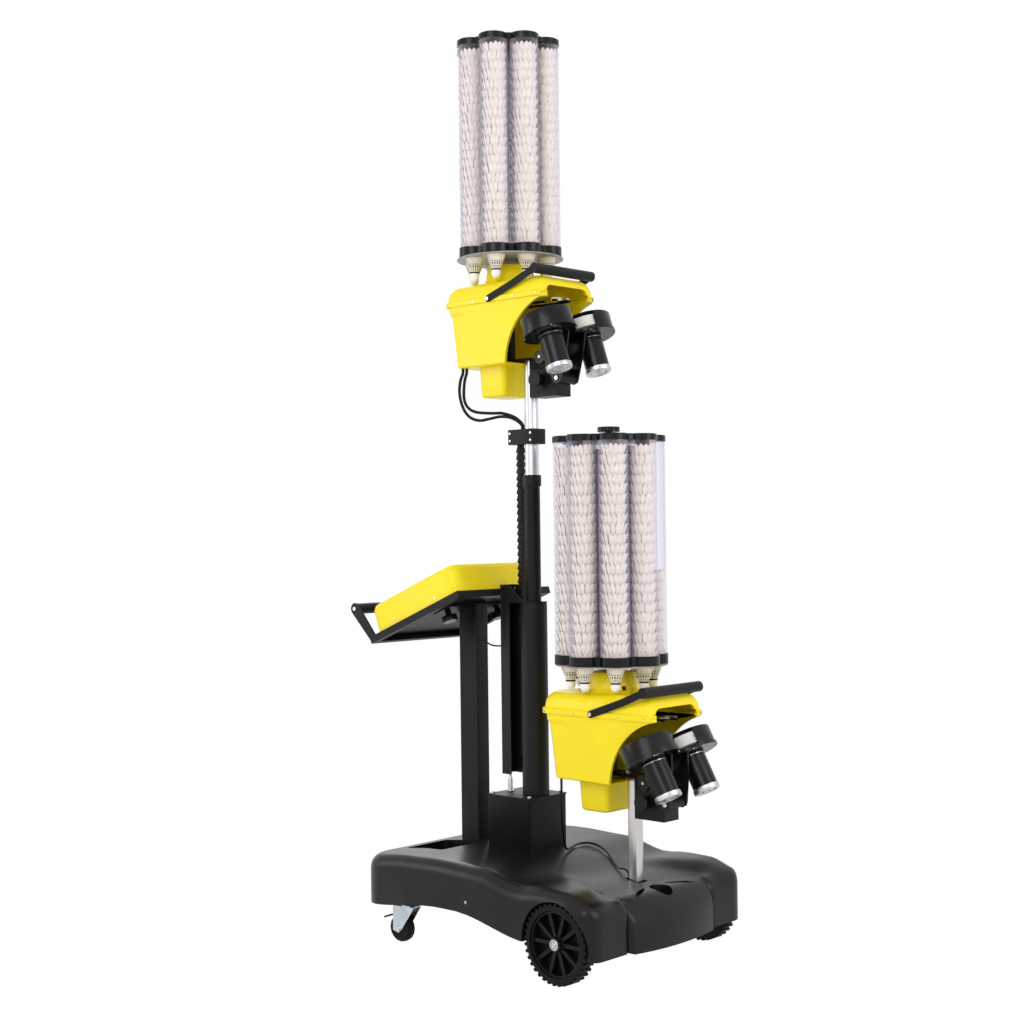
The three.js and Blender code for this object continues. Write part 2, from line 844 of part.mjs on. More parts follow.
function frontWheel(side) {
  const name = side > 0 ? "left" : "right";
  const group = new THREE.Group();
  group.position.set(wheelX, side * (wheelFaceY - wheelWidth / 2), wheelRadius);
  group.rotation.x = -side * (Math.PI / 2);
  group.add(part("front_wheel_" + name, wheelRim(), finish.nylon));
  group.add(part("front_tyre_" + name, wheelTyre(), finish.rubber));
  return group;
}

// A swivel caster about its stem's axis, wheel trailing towards -X
function casterFork() {
  const inner = casterWidth / 2 + forkGap;
  const outer = inner + forkWall;
  const top = casterPlateTop;
  const under = top - casterRace - 2 * forkWall;
  const ear = [
    [-casterTrail - casterRadius / 2, casterRadius - casterAxleRadius],
    [-casterTrail, casterRadius - 2.2 * casterAxleRadius],
    [-casterTrail + casterRadius / 3, casterRadius],
    [casterStemRadius, under],
    [casterStemRadius, under + 2 * forkWall],
    [-casterTrail - casterRadius / 2, under + 2 * forkWall],
  ];
  const cheek = (y0, y1) => sideways(shapeOf(ear), y0, y1);
  const crown = box(-casterTrail - casterRadius / 2, casterStemRadius, -outer, outer, under + forkWall,
    under + 2 * forkWall);
  const race = cylinder(casterStemRadius, under + 2 * forkWall, top, roundSides);
  const axle = crossPin(-casterTrail, casterRadius, casterAxleRadius, -outer - forkWall,
    outer + forkWall, smallSides);
  return join(cheek(-outer, -inner), cheek(inner, outer), crown, race, axle);
}

function casterWheel() {
  const half = casterWidth / 2;
  const round = casterRadius - half / 2;
  const bore = casterAxleRadius + runGap;
  const profile = [[bore, -half], [round, -half], [casterRadius, -half / 2], [casterRadius, half / 2],
    [round, half], [bore, half]];
  return moved(revolveClosed(profile, roundSides), { turnX: Math.PI / 2 });
}

function casterBrake() {
  const inner = casterWidth / 2 + forkGap;
  const reach = -casterTrail - casterRadius / 2;
  const tread = shapeOf([
    [reach - seatGap, casterRadius * 2 + brakeThickness / 2],
    [reach - brakeReach, casterRadius * 1.75],
    [reach - brakeReach, casterRadius * 1.75 - brakeThickness],
    [reach - seatGap, casterRadius * 2 - 0.6 * brakeThickness],
  ]);
  return sideways(tread, -inner, inner);
}

function caster(side) {
  const name = side > 0 ? "left" : "right";
  const group = new THREE.Group();
  group.position.set(casterX, side * casterY, 0);
  group.rotation.z = rad(casterTurn);
  group.add(part("caster_fork_" + name, casterFork(), finish.zinc));
  const wheel = part("caster_wheel_" + name, casterWheel(), finish.rubber);
  wheel.position.set(-casterTrail, 0, casterRadius);
  group.add(wheel);
  group.add(part("caster_brake_" + name, casterBrake(), finish.nylon));
  return group;
}

// The lift's drive box, its lid and the cable connector on it
function liftBox() {
  const wallShape = roundedRect(boxX - boxHalfX, boxX + boxHalfX, -boxHalfY, boxHalfY, boxLid);
  const lip = boxLidLip;
  const lidShape = roundedRect(boxX - boxHalfX - lip, boxX + boxHalfX + lip, -boxHalfY - lip,
    boxHalfY + lip, boxLid);
  const room = box(boxX - boxHalfX + boxWall, boxX + boxHalfX - boxWall, boxWall - boxHalfY,
    boxHalfY - boxWall, frameTop - overrun, boxTop - boxLid);
  return join(cut(raised(wallShape, frameTop + seatGap, boxTop - boxLid), room), raised(lidShape,
    boxTop - boxLid, boxTop));
}

function cableConnector() {
  const z0 = boxTop + seatGap;
  const nut = revolve(
    [[0, z0], [connectorRadius * 1.5, z0], [connectorRadius * 1.5, z0 + connectorRadius / 2],
      [connectorRadius, z0 + connectorRadius],
      [connectorRadius, z0 + connectorHeight], [connectorLeadRadius,
        z0 + connectorHeight + connectorRadius], [0, z0 + connectorHeight + connectorRadius]],
    smallSides,
  );
  const lead = cylinder(connectorLeadRadius, z0 + connectorHeight, channelBottom + connectorHeight,
    smallSides);
  return moved(join(nut, lead), { x: mastX - (channelRear + channelFront) / 2, y: connectorY / 4 });
}

function mastOuterTube() {
  const z0 = boxTop + seatGap;
  const cap = innerTubeRadius + runGap;
  return moved(
    revolveClosed(
      [[outerTubeRadius - outerTubeWall, z0], [outerTubeRadius, z0], [outerTubeRadius,
        outerTubeTop - outerTubeWall],
        [outerTubeRadius - outerTubeWall / 2, outerTubeTop], [cap, outerTubeTop], [cap,
          outerTubeTop - 2 * outerTubeWall],
        [outerTubeRadius - outerTubeWall, outerTubeTop - 2 * outerTubeWall]],
      roundSides,
    ),
    { x: mastX },
  );
}

function mastInnerTube() {
  const bore = innerTubeRadius - innerTubeWall;
  const z0 = boxTop + seatGap;
  const tube = revolveClosed([[bore, z0], [innerTubeRadius, z0], [innerTubeRadius, innerTubeTop], [bore,
    innerTubeTop]], roundSides);
  const low = innerTubeTop - collarHeight;
  const edge = innerTubeWall / 2;
  const collar = revolveClosed(
    [[bore, low], [collarRadius, low], [collarRadius, innerTubeTop - edge], [bore, innerTubeTop]],
    roundSides,
  );
  return moved(join(tube, collar), { x: mastX });
}

function mastHeadTube() {
  const bore = headTubeRadius - headTubeWall;
  const top = upperHeadZ + framePlateZ - seatGap;
  const plug = top - yawPinLength - headTubeWall;
  const tube = revolveClosed(
    [[bore, headTubeBottom], [headTubeRadius, headTubeBottom], [headTubeRadius, top], [standBore, top],
      [standBore, plug], [bore, plug]],
    roundSides,
  );
  return moved(tube, { x: mastX });
}

function cableClampBlock() {
  const outline = roundedRect(mastX - blockRear, mastX + blockFront, -blockHalfY, blockHalfY, boxLid);
  const block = raised(outline, blockBottom, blockBottom + blockHeight);
  const bore = moved(cylinder(headTubeRadius + runGap, blockBottom - overrun,
    blockBottom + blockHeight + overrun), { x: mastX });
  return cut(block, bore);
}

// A straight run of links, each one tapering up into the foot of the next
function dragChain() {
  const x0 = mastX - chainRear;
  const x1 = mastX - chainFront;
  const top = blockBottom - seatGap;
  const count = Math.floor((top - chainBottom) / linkPitch);
  const start = top - count * linkPitch;
  const ring = (inset, z) => [
    [x0 + inset, chainNearY + inset, z], [x1 - inset, chainNearY + inset, z],
    [x1 - inset, chainFarY - inset, z], [x0 + inset, chainFarY - inset, z],
  ];
  const rings = [ring(0, start)];
  for (let k = 1; k <= count; k++) {
    rings.push(ring(linkNeckInset, start + (k - linkNeckShare) * linkPitch));
    if (k < count) rings.push(ring(0, start + k * linkPitch));
  }
  rings.push(ring(linkNeckInset, top));
  return loft(rings);
}

function chainChannel() {
  const x0 = mastX - channelRear;
  const x1 = mastX - channelFront;
  const outer = box(x0, x1, -channelHalfY, channelHalfY, channelBottom, channelTop);
  const inner = box(x0 + channelWall, x1 + overrun, -channelHalfY + channelWall, channelHalfY - channelWall,
    channelBottom - overrun, channelTop + overrun);
  const plateLow = outerTubeTop + seatGap;
  const plate = join(
    box(x1 - channelWall, mastX, -channelHalfY, chainNearY - runGap - seatGap, plateLow,
      plateLow + gussetThickness),
    moved(cylinder(outerTubeRadius, plateLow, plateLow + gussetThickness), { x: mastX }),
  );
  const post = moved(cylinder(innerTubeRadius + runGap, plateLow - overrun, plateLow + overrun),
    { x: mastX });
  const slope = shapeOf([[x1 - channelWall, plateLow], [x1 - channelWall, channelTop],
    [mastX - outerTubeRadius / 2, plateLow + gussetThickness],
    [mastX - outerTubeRadius / 2, plateLow]]);
  const gusset = sideways(slope, -channelHalfY, gussetThickness - channelHalfY);
  const holeX = x0 + (x1 - x0) / 3;
  const hole = crossPin(holeX, channelTop - gussetThickness * 3, channelHoleRadius,
    -channelHalfY - overrun, channelHalfY + overrun, smallSides);
  return cut(join(cut(outer, inner), cut(plate, post), gusset), hole);
}

// Console frame: X along the tray from its front edge, turned by the slope
const trayTurn = rad(traySlope);
function consoleTray() {
  const shell = box(-trayLength, 0, -trayHalfWidth, trayHalfWidth, 0, trayHeight);
  const mouth = box(-trayLength + trayLip, -trayLip, -trayHalfWidth + trayLip, trayHalfWidth - trayLip,
    -overrun, trayHeight - trayPlate);
  const hollow = box(-trayLength + trayWall, -trayWall, -trayHalfWidth + trayWall,
    trayHalfWidth - trayWall, trayWall, trayHeight - trayPlate);
  const [barX, barZ] = offTray(handleX, handleZ);
  const arm = sideways(armOutline(barX, barZ), -trayHalfWidth, -trayHalfWidth + armThickness);
  const otherArm = sideways(armOutline(barX, barZ), trayHalfWidth - armThickness, trayHalfWidth);
  const bar = crossPin(barX, barZ, barRadius, -trayHalfWidth + armThickness / 2,
    trayHalfWidth - armThickness / 2);
  return join(cut(shell, mouth, hollow), arm, otherArm, bar);
}

function offTray(x, z) {
  const dx = x - trayFrontX;
  const dz = z - trayFrontZ;
  return [dx * Math.cos(trayTurn) + dz * Math.sin(trayTurn),
    dz * Math.cos(trayTurn) - dx * Math.sin(trayTurn)];
}

function armOutline(barX, barZ) {
  const s = new THREE.Shape();
  const lean = Math.atan2(barX + trayLength, barZ);
  const foot = -trayLength;
  s.moveTo(foot, 0);
  s.lineTo(foot + armFoot, 0);
  s.lineTo(foot + armFoot, trayHeight);
  s.lineTo(barX + armEnd * Math.cos(lean), barZ - armEnd * Math.sin(lean));
  s.absarc(barX, barZ, armEnd, -lean, Math.PI - lean);
  s.lineTo(foot, trayHeight / 2);
  return s;
}

function consoleHousing() {
  const x0 = -trayLength + consoleRearInset;
  const x1 = -consoleFrontInset;
  const z0 = trayHeight + seatGap;
  const z1 = z0 + consoleHeight;
  const ring = (inset, z) =>
    plate4(x0 + inset, x1 - inset, consoleHalfWidth - inset, consoleCorner - inset,
      consoleCorner - inset, z, cornerSteps + 1);
  const body = loft([ring(0, z0), ring(0, z1 - consoleEdge), ring(consoleEdge / 3, z1 - consoleEdge / 3),
    ring(consoleEdge, z1)]);
  const panel = raised(panelShape(runGap), z1 - panelThickness, z1 + overrun);
  return cut(body, panel, switchBed(runGap));
}

const consoleTopZ = trayHeight + seatGap + consoleHeight;

function panelShape(grow) {
  const x0 = -trayLength + panelFromRear;
  return roundedRect(x0 - grow, x0 + panelLength + grow, -panelHalfWidth - grow, panelHalfWidth + grow,
    panelCorner);
}

function controlPanel() {
  return raised(panelShape(0), consoleTopZ - panelThickness + seatGap, consoleTopZ + seatGap);
}

function switchBed(grow) {
  const x = -trayLength + switchFromRear;
  return box(x - 4 * grow, x + switchLength + 4 * grow, switchY - switchHalfWidth - grow,
    switchY + switchHalfWidth + grow,
    consoleTopZ - switchBedDepth, consoleTopZ + overrun);
}

// A rocker whose top is a shallow vee
function powerSwitch() {
  const x = -trayLength + switchFromRear;
  const z0 = consoleTopZ - switchBedDepth + seatGap;
  const rise = z0 + switchHeight;
  const outline = shapeOf([[x, z0 + switchHeight / 3], [x + switchLength / 2, z0], [x + switchLength,
    z0 + switchHeight / 3],
    [x + switchLength, rise], [x + switchLength / 2, rise - switchHeight / 4], [x, rise]]);
  return sideways(outline, switchY - switchHalfWidth, switchY + switchHalfWidth);
}

function consolePost() {
  const outline = roundedRect(postX - postHalfX, postX + postHalfX, -postHalfY, postHalfY, postCorner);
  const column = raised(outline, frameTop + seatGap, trayFrontZ);
  const saddle = traySolid(saddleBlock());
  const above = traySolid(box(-trayLength, trayLength, -trayHalfWidth, trayHalfWidth, saddleLow(),
    trayLength));
  return join(cut(column, above), saddle);
}

const saddleX = () => offTray(postX, trayFrontZ - (trayFrontX - postX) * Math.tan(trayTurn))[0];
const saddleLow = () => trayHeight - trayPlate - seatGap - saddleThickness;

function saddleBlock() {
  const x = saddleX();
  return box(x - saddleHalfX, x + saddleHalfX, -saddleHalfY, saddleHalfY, saddleLow(),
    saddleLow() + saddleThickness);
}

function traySolid(solid) {
  return moved(solid, { turnY: -trayTurn, x: trayFrontX, z: trayFrontZ });
}

// A lobed hand knob about Z, its head below z = 0 when hung under a plate
function lobedKnob(radius, height, lobes, depth) {
  const outline = Array.from({ length: lobes * 3 }, (_, k) => {
    const r = radius - (k % 3 === 0 ? depth : 0);
    const a = (turn * k) / (lobes * 3);
    return [r * Math.cos(a), r * Math.sin(a)];
  });
  return raised(shapeOf(outline), 0, height);
}

function trayKnob() {
  const stem = cylinder(knobStemRadius, -knobStemLength, 0, smallSides);
  const head = moved(lobedKnob(knobRadius, knobHeight, knobLobes, knobLobeDepth),
    { z: -knobStemLength - knobHeight });
  return join(stem, head);
}

function consoleGroup() {
  const group = new THREE.Group();
  group.position.set(trayFrontX, 0, trayFrontZ);
  group.rotation.y = -trayTurn;
  group.add(part("console_tray", consoleTray(), finish.powder));
  group.add(part("console_housing", consoleHousing(), finish.yellow));
  group.add(part("control_panel", controlPanel(), finish.screen));
  group.add(part("power_switch", powerSwitch(), finish.gloss));
  for (const side of [-1, 1]) {
    const knob = part("tray_knob_" + (side > 0 ? "left" : "right"), trayKnob(), finish.gloss);
    knob.position.set(saddleX(), side * knobY, saddleLow() - seatGap);
    group.add(knob);
  }
  return group;
}

function standPost() {
  const top = lowerHeadZ + framePlateZ - seatGap;
  const low = frameTop - railHeight + coverWall + seatGap;
  const bar = raised(roundedRect(standX - standHalf, standX + standHalf, -standHalf, standHalf,
    headTubeWall), low, top, 1);
  const bore = moved(cylinder(standBore, top - yawPinLength - headTubeWall, top + overrun), { x: standX });
  return cut(bar, bore);
}

// Head housing: the outer form by height, full size or inset by the relief
function bodyForm(inset, low) {
  const at = (z, extra) => {
    const t = z / bodyHeight;
    const rear = -(bodyRearBottom + (bodyRear - bodyRearBottom) * t) + inset + extra;
    const half = bodyHalfWidthBottom + (bodyHalfWidth - bodyHalfWidthBottom) * t - inset - extra;
    return plate4(rear, lidFront - inset - extra, half, bodyRearCorner - inset, bodyFrontCorner, z);
  };
  return loft([at(low, low > 0 ? 0 : bottomEdge), at(low + bottomEdge, 0), at(bodyHeight, 0)]);
}

// The proud front panel's outline, in shares of the body's rear reach and height
const reliefShares = [[-1.15, 1.1], [-1.15, 0.85], [-0.66, 0.85], [-0.56, 0.82], [-0.49, 0.72], [-0.42,
  0.56], [-0.33, 0.42],
  [-0.22, 0.36], [-0.17, 0.33], [-0.165, -0.1], [0.8, -0.1], [0.8, 1.1]];

function housingBody() {
  const proud = sideways(shapeOf(scaled(reliefShares, bodyRear, bodyHeight)), -bodyRear, bodyRear);
  const outer = join(bodyForm(reliefDepth, 0), bodyForm(0, 0).intersect(proud));
  const inner = bodyForm(reliefDepth + bodyWall, bodyWall);
  const lift = box(-bodyRear, lidFront, -bodyHalfWidth, bodyHalfWidth, bodyHeight - overrun / 2,
    bodyHeight + overrun);
  const arc = crossPin(arcX, arcZ, arcRadius, -bodyRear, bodyRear, 2 * roundSides);
  const innerTop = moved(inner, { z: overrun / 2 });
  const sumpRing = (inset, z) => plate4(-sumpRear + inset, -sumpFront - inset, sumpHalfWidth - inset,
    sumpCorner, sumpCorner, z);
  const sump = loft([
    sumpRing(sumpTaper + sumpCorner / 2, -sumpDepth),
    sumpRing(sumpTaper, -sumpDepth + sumpCorner / 2),
    sumpRing(0, bodyWall / 2),
  ]);
  const tubeHole = cylinder(tubeHoleRadius, -overrun, bodyWall + overrun);
  return cut(join(cut(outer, inner, innerTop, lift.intersect(innerTop)), sump), arc, tubeHole,
    frontOpening());
}

// The hood's profile from its lower edge to its top: inset of the side, then height
const hoodProfile = [
  [0, bodyHeight - lidFlangeDrop],
  [0, bodyHeight + lidFlange],
  [lidFlange, bodyHeight + 1.5 * lidFlange],
  [lidFlange + lidEdge / 6, lidTop - lidEdge / 2],
  [lidFlange + lidEdge / 2.2, lidTop - lidEdge / 7],
  [lidFlange + lidEdge, lidTop],
];

function lidForm(inset) {
  const ring = ([side, z], k) => {
    const t = side + inset;
    const half = bodyHalfWidth + lidFlange - t;
    return plate4(t - lidRear, lidFront - t, half, bodyRearCorner, bodyFrontCorner, k ? z - inset : z);
  };
  return loft(hoodProfile.map(ring));
}

function housingLid() {
  const shell = cut(
    lidForm(0),
    moved(lidForm(bodyWall + lidFlange), { z: lidFlange }),
    lidUnderside(),
  );
  const neckOuter = revolve([[0, lidTop - bodyWall], [neckRadius, lidTop - bodyWall], [neckTopRadius,
    neckTop - neckWall],
    [neckTopRadius - neckWall, neckTop], [0, neckTop]], roundSides);
  const neckInner = revolve([[0, lidTop - 3 * bodyWall], [neckRadius - neckWall, lidTop - 3 * bodyWall],
    [neckTopRadius - neckWall, neckTop - neckWall], [0, neckTop - neckWall]], roundSides);
  const spindleHole = cylinder(spindleRadius + 4 * runGap, lidTop - overrun, neckTop + overrun);
  const place = { x: spindleX };
  const feed = moved(cylinder(feedRadius, lidTop - 2 * lidEdge, lidTop + overrun), { x: feedX });
  const opening = frontOpening();
  const port = moved(box(neckRadius / 2, neckRadius * 1.2, -neckPort / 2, neckPort / 2,
    lidTop + neckPort / 2, lidTop + 1.4 * neckPort),
    { ...place, turnZ: -Math.PI / 8 });
  return cut(join(shell, moved(neckOuter, place)), moved(join(neckInner, spindleHole), place), feed,
    opening, port);
}

// The hollow that lets the lid's flange sit over the body's top edge
function lidUnderside() {
  const fit = bodyWall + reliefDepth;
  return loft([
    plate4(-bodyRear - seatGap, lidFront + overrun, bodyHalfWidth + seatGap, bodyRearCorner,
      bodyFrontCorner, bodyHeight - lidFlangeDrop - overrun),
    plate4(-bodyRear - seatGap, lidFront + overrun, bodyHalfWidth + seatGap, bodyRearCorner,
      bodyFrontCorner, bodyHeight + seatGap),
    plate4(-bodyRear + fit, lidFront - bodyWall, bodyHalfWidth - fit, bodyRearCorner - fit,
      bodyFrontCorner, bodyHeight + seatGap + bodyWall / 4),
    plate4(-bodyRear + fit, lidFront - bodyWall, bodyHalfWidth - fit, bodyRearCorner - fit,
      bodyFrontCorner, bodyHeight + fit),
  ]);
}

function windowOutline() {
  return roundedRect(-windowHalfWidth, windowHalfWidth, windowLow, windowTop, windowCorner);
}

// The opening in front of the wheels, through the hood and the body's front edge
function frontOpening() {
  return sidewaysX(windowOutline(), lidFront - 2 * bodyFrontCorner, lidFront + overrun);
}

// An outline in Y and Z, pulled from x0 to x1
function sidewaysX(shape, x0, x1) {
  const basis = new THREE.Matrix4().makeBasis(
    new THREE.Vector3(0, 1, 0), new THREE.Vector3(0, 0, 1), new THREE.Vector3(1, 0, 0));
  return solidOf(extrude(shape, x1 - x0).applyMatrix4(basis).translate(x0, 0, 0));
}

// The steel frame inside the head: it turns on the tube and carries everything else
function headFrame() {
  const plateTop = framePlateZ + framePlate;
  const base = box(spindleX - spindleRadius * 1.5, dropFront, -frameHalfY, frameHalfY, framePlateZ,
    plateTop);
  const drop = box(dropRear, dropFront, -frameHalfY, frameHalfY, blockLow, plateTop);
  const block = box(dropRear, frameFront, -frameHalfY, frameHalfY, blockLow, blockHigh);
  const lug = crossPin(pivotX, pivotZ, lugRadius, -frameHalfY, frameHalfY);
  const lugRoot = box(frameFront - lugRadius, pivotX, -frameHalfY, frameHalfY, pivotZ - lugRadius,
    pivotZ + lugRadius);
  const pinHole = crossPin(pivotX, pivotZ, pivotPin + runGap, -frameHalfY - overrun, frameHalfY + overrun);
  const barrel = crossPin(tiltMotorX, pivotZ, tiltBarrelRadius, -tiltMotorReach, -frameHalfY + overrun);
  const face = crossPin(tiltMotorX, pivotZ, tiltMotorRadius, -tiltMotorReach, -tiltMotorReach + spindleTip);
  const spindle = moved(
    revolve([[0, plateTop - framePlate / 2], [spindleRadius, plateTop - framePlate / 2], [spindleRadius,
      neckTop],
      [spindleTip, neckTop], [spindleTip, ringBottom], [0, ringBottom]], smallSides),
    { x: spindleX });
  const arm = box(spindleX, guideRear, -guideOuterY, guideOuterY, guideZ, guideZ + guideHeight);
  const rail = (y0, y1) => box(guideRear - overrun, guideFront, y0, y1, guideZ, guideZ + guideHeight);
  const yawPin = cylinder(innerReach(standBore, roundSides) - runGap,
    framePlateZ - yawPinLength + seatGap, framePlateZ + framePlate / 2, smallSides);
  const rails = join(rail(-guideOuterY, -guideInnerY), rail(guideInnerY, guideOuterY));
  return join(cut(join(base, drop, block, lug, lugRoot), pinHole), barrel, face, spindle, arm, rails,
    yawPin);
}

// Magazine pieces, about the magazine's own axis
function aroundCircle(make) {
  return Array.from({ length: tubesPerHead }, (_, k) => {
    const a = (turn * k) / tubesPerHead;
    return moved(make(k), { x: tubeCircle * Math.cos(a), y: tubeCircle * Math.sin(a) });
  });
}

// The clover outline round the tubes: an arc about each, joined straight across
function lobedPlate(radius, z0, z1) {
  const outline = [];
  for (let k = 0; k < tubesPerHead; k++)
    for (let j = 0; j <= lobeSteps; j++) {
      const a = (turn * k) / tubesPerHead;
      const b = a + lobeSpread * (j / lobeSteps - 0.5);
      outline.push([tubeCircle * Math.cos(a) + radius * Math.cos(b),
        tubeCircle * Math.sin(a) + radius * Math.sin(b)]);
    }
  return raised(shapeOf(outline), z0, z1);
}

function magazineTubes() {
  const z0 = ringBottom + seatGap;
  const z1 = ringBottom + ringHeight;
  const top = ringBottom + magazineHeight - lidThickness - seatGap;
  const inner = tubeRadius - tubeWall;
  const foot = z1 - tubeWall;
  const tube = revolveClosed([[inner, foot], [tubeRadius, foot], [tubeRadius, top], [inner, top]],
    tubeSides);
  const holes = aroundCircle(() => cylinder(inner, z0 - overrun, z1 + overrun, tubeSides));
  const bore = cylinder(hubWidth, z0 - overrun, z1 + overrun);
  return join(cut(lobedPlate(lobeRadius, z0, z1), ...holes, bore), ...aroundCircle(() => tube));
}

function magazineLid() {
  const top = ringBottom + magazineHeight;
  const z0 = top - lidThickness;
  const edge = lidChamfer;
  const plate = join(lobedPlate(lobeRadius, z0, top - edge), lobedPlate(lobeRadius - edge, top - edge,
    top));
  return cut(plate, cylinder(rodRadius + runGap, z0 - overrun, top + overrun, smallSides));
}

function lidKnob() {
  const z0 = ringBottom + magazineHeight + seatGap;
  const head = moved(lobedKnob(topKnobRadius, topKnobHeight, topKnobLobes, knobLobeDepth / 2),
    { z: z0 + topKnobRise });
  const stem = cylinder(topKnobStem, z0, z0 + topKnobRise + topKnobHeight / 2, smallSides);
  const bore = cylinder(rodRadius + runGap, z0 - overrun, z0 + topKnobRise, smallSides);
  return cut(join(head, stem), bore);
}

// One column: the lowest shuttle hangs through the disc, the rest stand on it
function shuttleColumn(fill) {
  const crown = corkBottom + corkLength;
  const tip = crown + skirtLength;
  const top = ringBottom + fill * (magazineHeight - lidThickness - stackTopGap);
  return revolve(
    [[0, corkBottom], [corkRadius, corkBottom + corkRadius / 2], [corkRadius, crown],
      [skirtRadius, tip], [stackRadius, top], [0, top]],
    shuttleSides,
  );
}

function carousel(fills) {
  const low = ringBottom - discThickness;
  const bore = spindleTip + runGap;
  const disc = revolveClosed([[bore, low], [discRadius, low], [discRadius, ringBottom], [bore,
    ringBottom]], wideSides);
  const hub = revolveClosed([[bore, neckTop + seatGap], [hubWidth - runGap, neckTop + seatGap],
    [hubWidth - runGap, ringBottom + ringHeight], [bore, ringBottom + ringHeight]], roundSides);
  const rod = cylinder(rodRadius, ringBottom + seatGap,
    ringBottom + magazineHeight + topKnobRise - seatGap, smallSides);
  const cap = cylinder(hubWidth - runGap, ringBottom + seatGap, ringBottom + ringHeight);
  return join(disc, hub, cap, rod, ...aroundCircle((k) => shuttleColumn(fills[k])));
}

// A carrying bail: two flat arms and a round grip, lying forward on the hood
function bailHandle() {
  const bailRise = lidTop + seatGap + bailGripRadius - bailZ;
  const inner = bodyHalfWidth + lidFlange + bailGap;
  const outer = inner + bailThickness;
  const angle = Math.atan2(bailRise, bailReach);
  const length = Math.hypot(bailRise, bailReach);
  const armShape = () => {
    const s = new THREE.Shape();
    const r = bailBar / 2;
    s.absarc(0, 0, r, Math.PI / 2, 1.5 * Math.PI);
    s.bezierCurveTo(length / 3, -r, length / 2, -1.6 * r, length, -r);
    s.absarc(length, 0, r, -Math.PI / 2, Math.PI / 2);
    s.bezierCurveTo(length / 2, 0.4 * r, length / 3, r, 0, r);
    return s;
  };
  const arm = (y0, y1) => moved(sideways(armShape(), y0, y1, cornerSteps), { turnY: -angle, x: bailX,
    z: bailZ });
  const grip = crossPin(bailX + bailReach, bailZ + bailRise, bailGripRadius, -outer, outer, roundSides);
  const pin = (y0, y1) => crossPin(bailX, bailZ, bailPinRadius, y0, y1, smallSides);
  return join(arm(-outer, -inner), arm(inner, outer), grip, pin(-outer - bailGap, -inner), pin(inner,
    outer + bailGap));
}

// Launcher pieces, in the launcher's own frame at its pivot
function launcherFrame() {
  const plateTop = plateLow + plateThickness;
  const roundPlate = (side) => moved(cylinder(drumRadius + plateLip, plateLow, plateTop, drumSides),
    { x: wheelForward, y: side * wheelSpread });
  const waist = box(wheelForward - waistRear, wheelForward + waistFront, -wheelSpread, wheelSpread,
    plateLow, plateTop);
  const drumTop = plateTop + drumHeight;
  const drum = (side) => {
    const shell = revolve(
      [[0, plateTop - plateThickness / 2], [drumRadius, plateTop - plateThickness / 2], [drumRadius,
        drumTop - drumWall],
        [drumRadius - drumWall, drumTop], [0, drumTop]], drumSides);
    return moved(shell, { x: wheelForward, y: side * wheelSpread });
  };
  const drumHollow = (side) =>
    moved(cylinder(drumRadius - drumWall, plateTop, drumTop - drumWall, drumSides), { x: wheelForward,
      y: side * wheelSpread });
  const lane = box(-drumRadius, 3 * drumRadius, -drumWindowHalf, drumWindowHalf, plateTop,
    drumTop - drumWall);
  const shaftHole = (side) =>
    moved(cylinder(motorShaft + 4 * runGap, plateLow - overrun, plateTop + overrun, smallSides),
      { x: wheelForward, y: side * wheelSpread });
  const cheekShape = shapeOf([
    [-cheekFoot, -cheekFoot / 2], [-cheekFoot / 2, -cheekFoot], [cheekFoot / 2, -cheekFoot], [cheekFoot,
      -cheekFoot / 2],
    [wheelForward, plateLow / 2], [wheelForward + waistFront, plateLow + plateThickness / 2],
      [wheelForward - waistRear, plateLow + plateThickness / 2],
    [linkDiscX - cheekFoot / 2, linkDiscZ + cheekFoot / 2], [linkDiscX, linkDiscZ - cheekFoot],
  ]);
  const cheek = (y0, y1) => sideways(cheekShape, y0, y1);
  const outer = cheekInner + cheekThickness;
  const pin = crossPin(0, 0, pivotPin, -outer, outer, smallSides);
  const disc = crossPin(linkDiscX, linkDiscZ, linkDiscRadius, -outer - linkDiscWidth,
    -outer + cheekThickness / 2);
  return join(
    cut(join(roundPlate(1), roundPlate(-1), waist, drum(1), drum(-1)), drumHollow(1), drumHollow(-1),
      lane, shaftHole(1), shaftHole(-1)),
    cheek(-outer, -cheekInner), cheek(cheekInner, outer), pin, disc);
}

function flywheel() {
  const z0 = plateLow + plateThickness + flyLift;
  const z1 = z0 + flyHeight;
  const bore = motorShaft + runGap;
  const web = (flyHeight - flyWeb) / 2;
  return revolveClosed(
    [[bore, z0 + web], [flyRadius, z0], [flyRadius - flyGroove, (z0 + z1) / 2], [flyRadius, z1], [bore,
      z1 - web]],
    roundSides,
  );
}

function driveMotor() {
  const z1 = plateLow - seatGap;
  const z0 = z1 - motorLength;
  const shaftTop = plateLow + plateThickness + flyLift + flyHeight - flyWeb;
  return revolve(
    [[0, z0], [motorRadius + motorCapLip, z0], [motorRadius + motorCapLip, z0 + motorCap], [motorRadius,
      z0 + motorCap], [motorRadius, z1],
      [motorShaft, z1], [motorShaft, shaftTop], [0, shaftTop]],
    roundSides,
  );
}

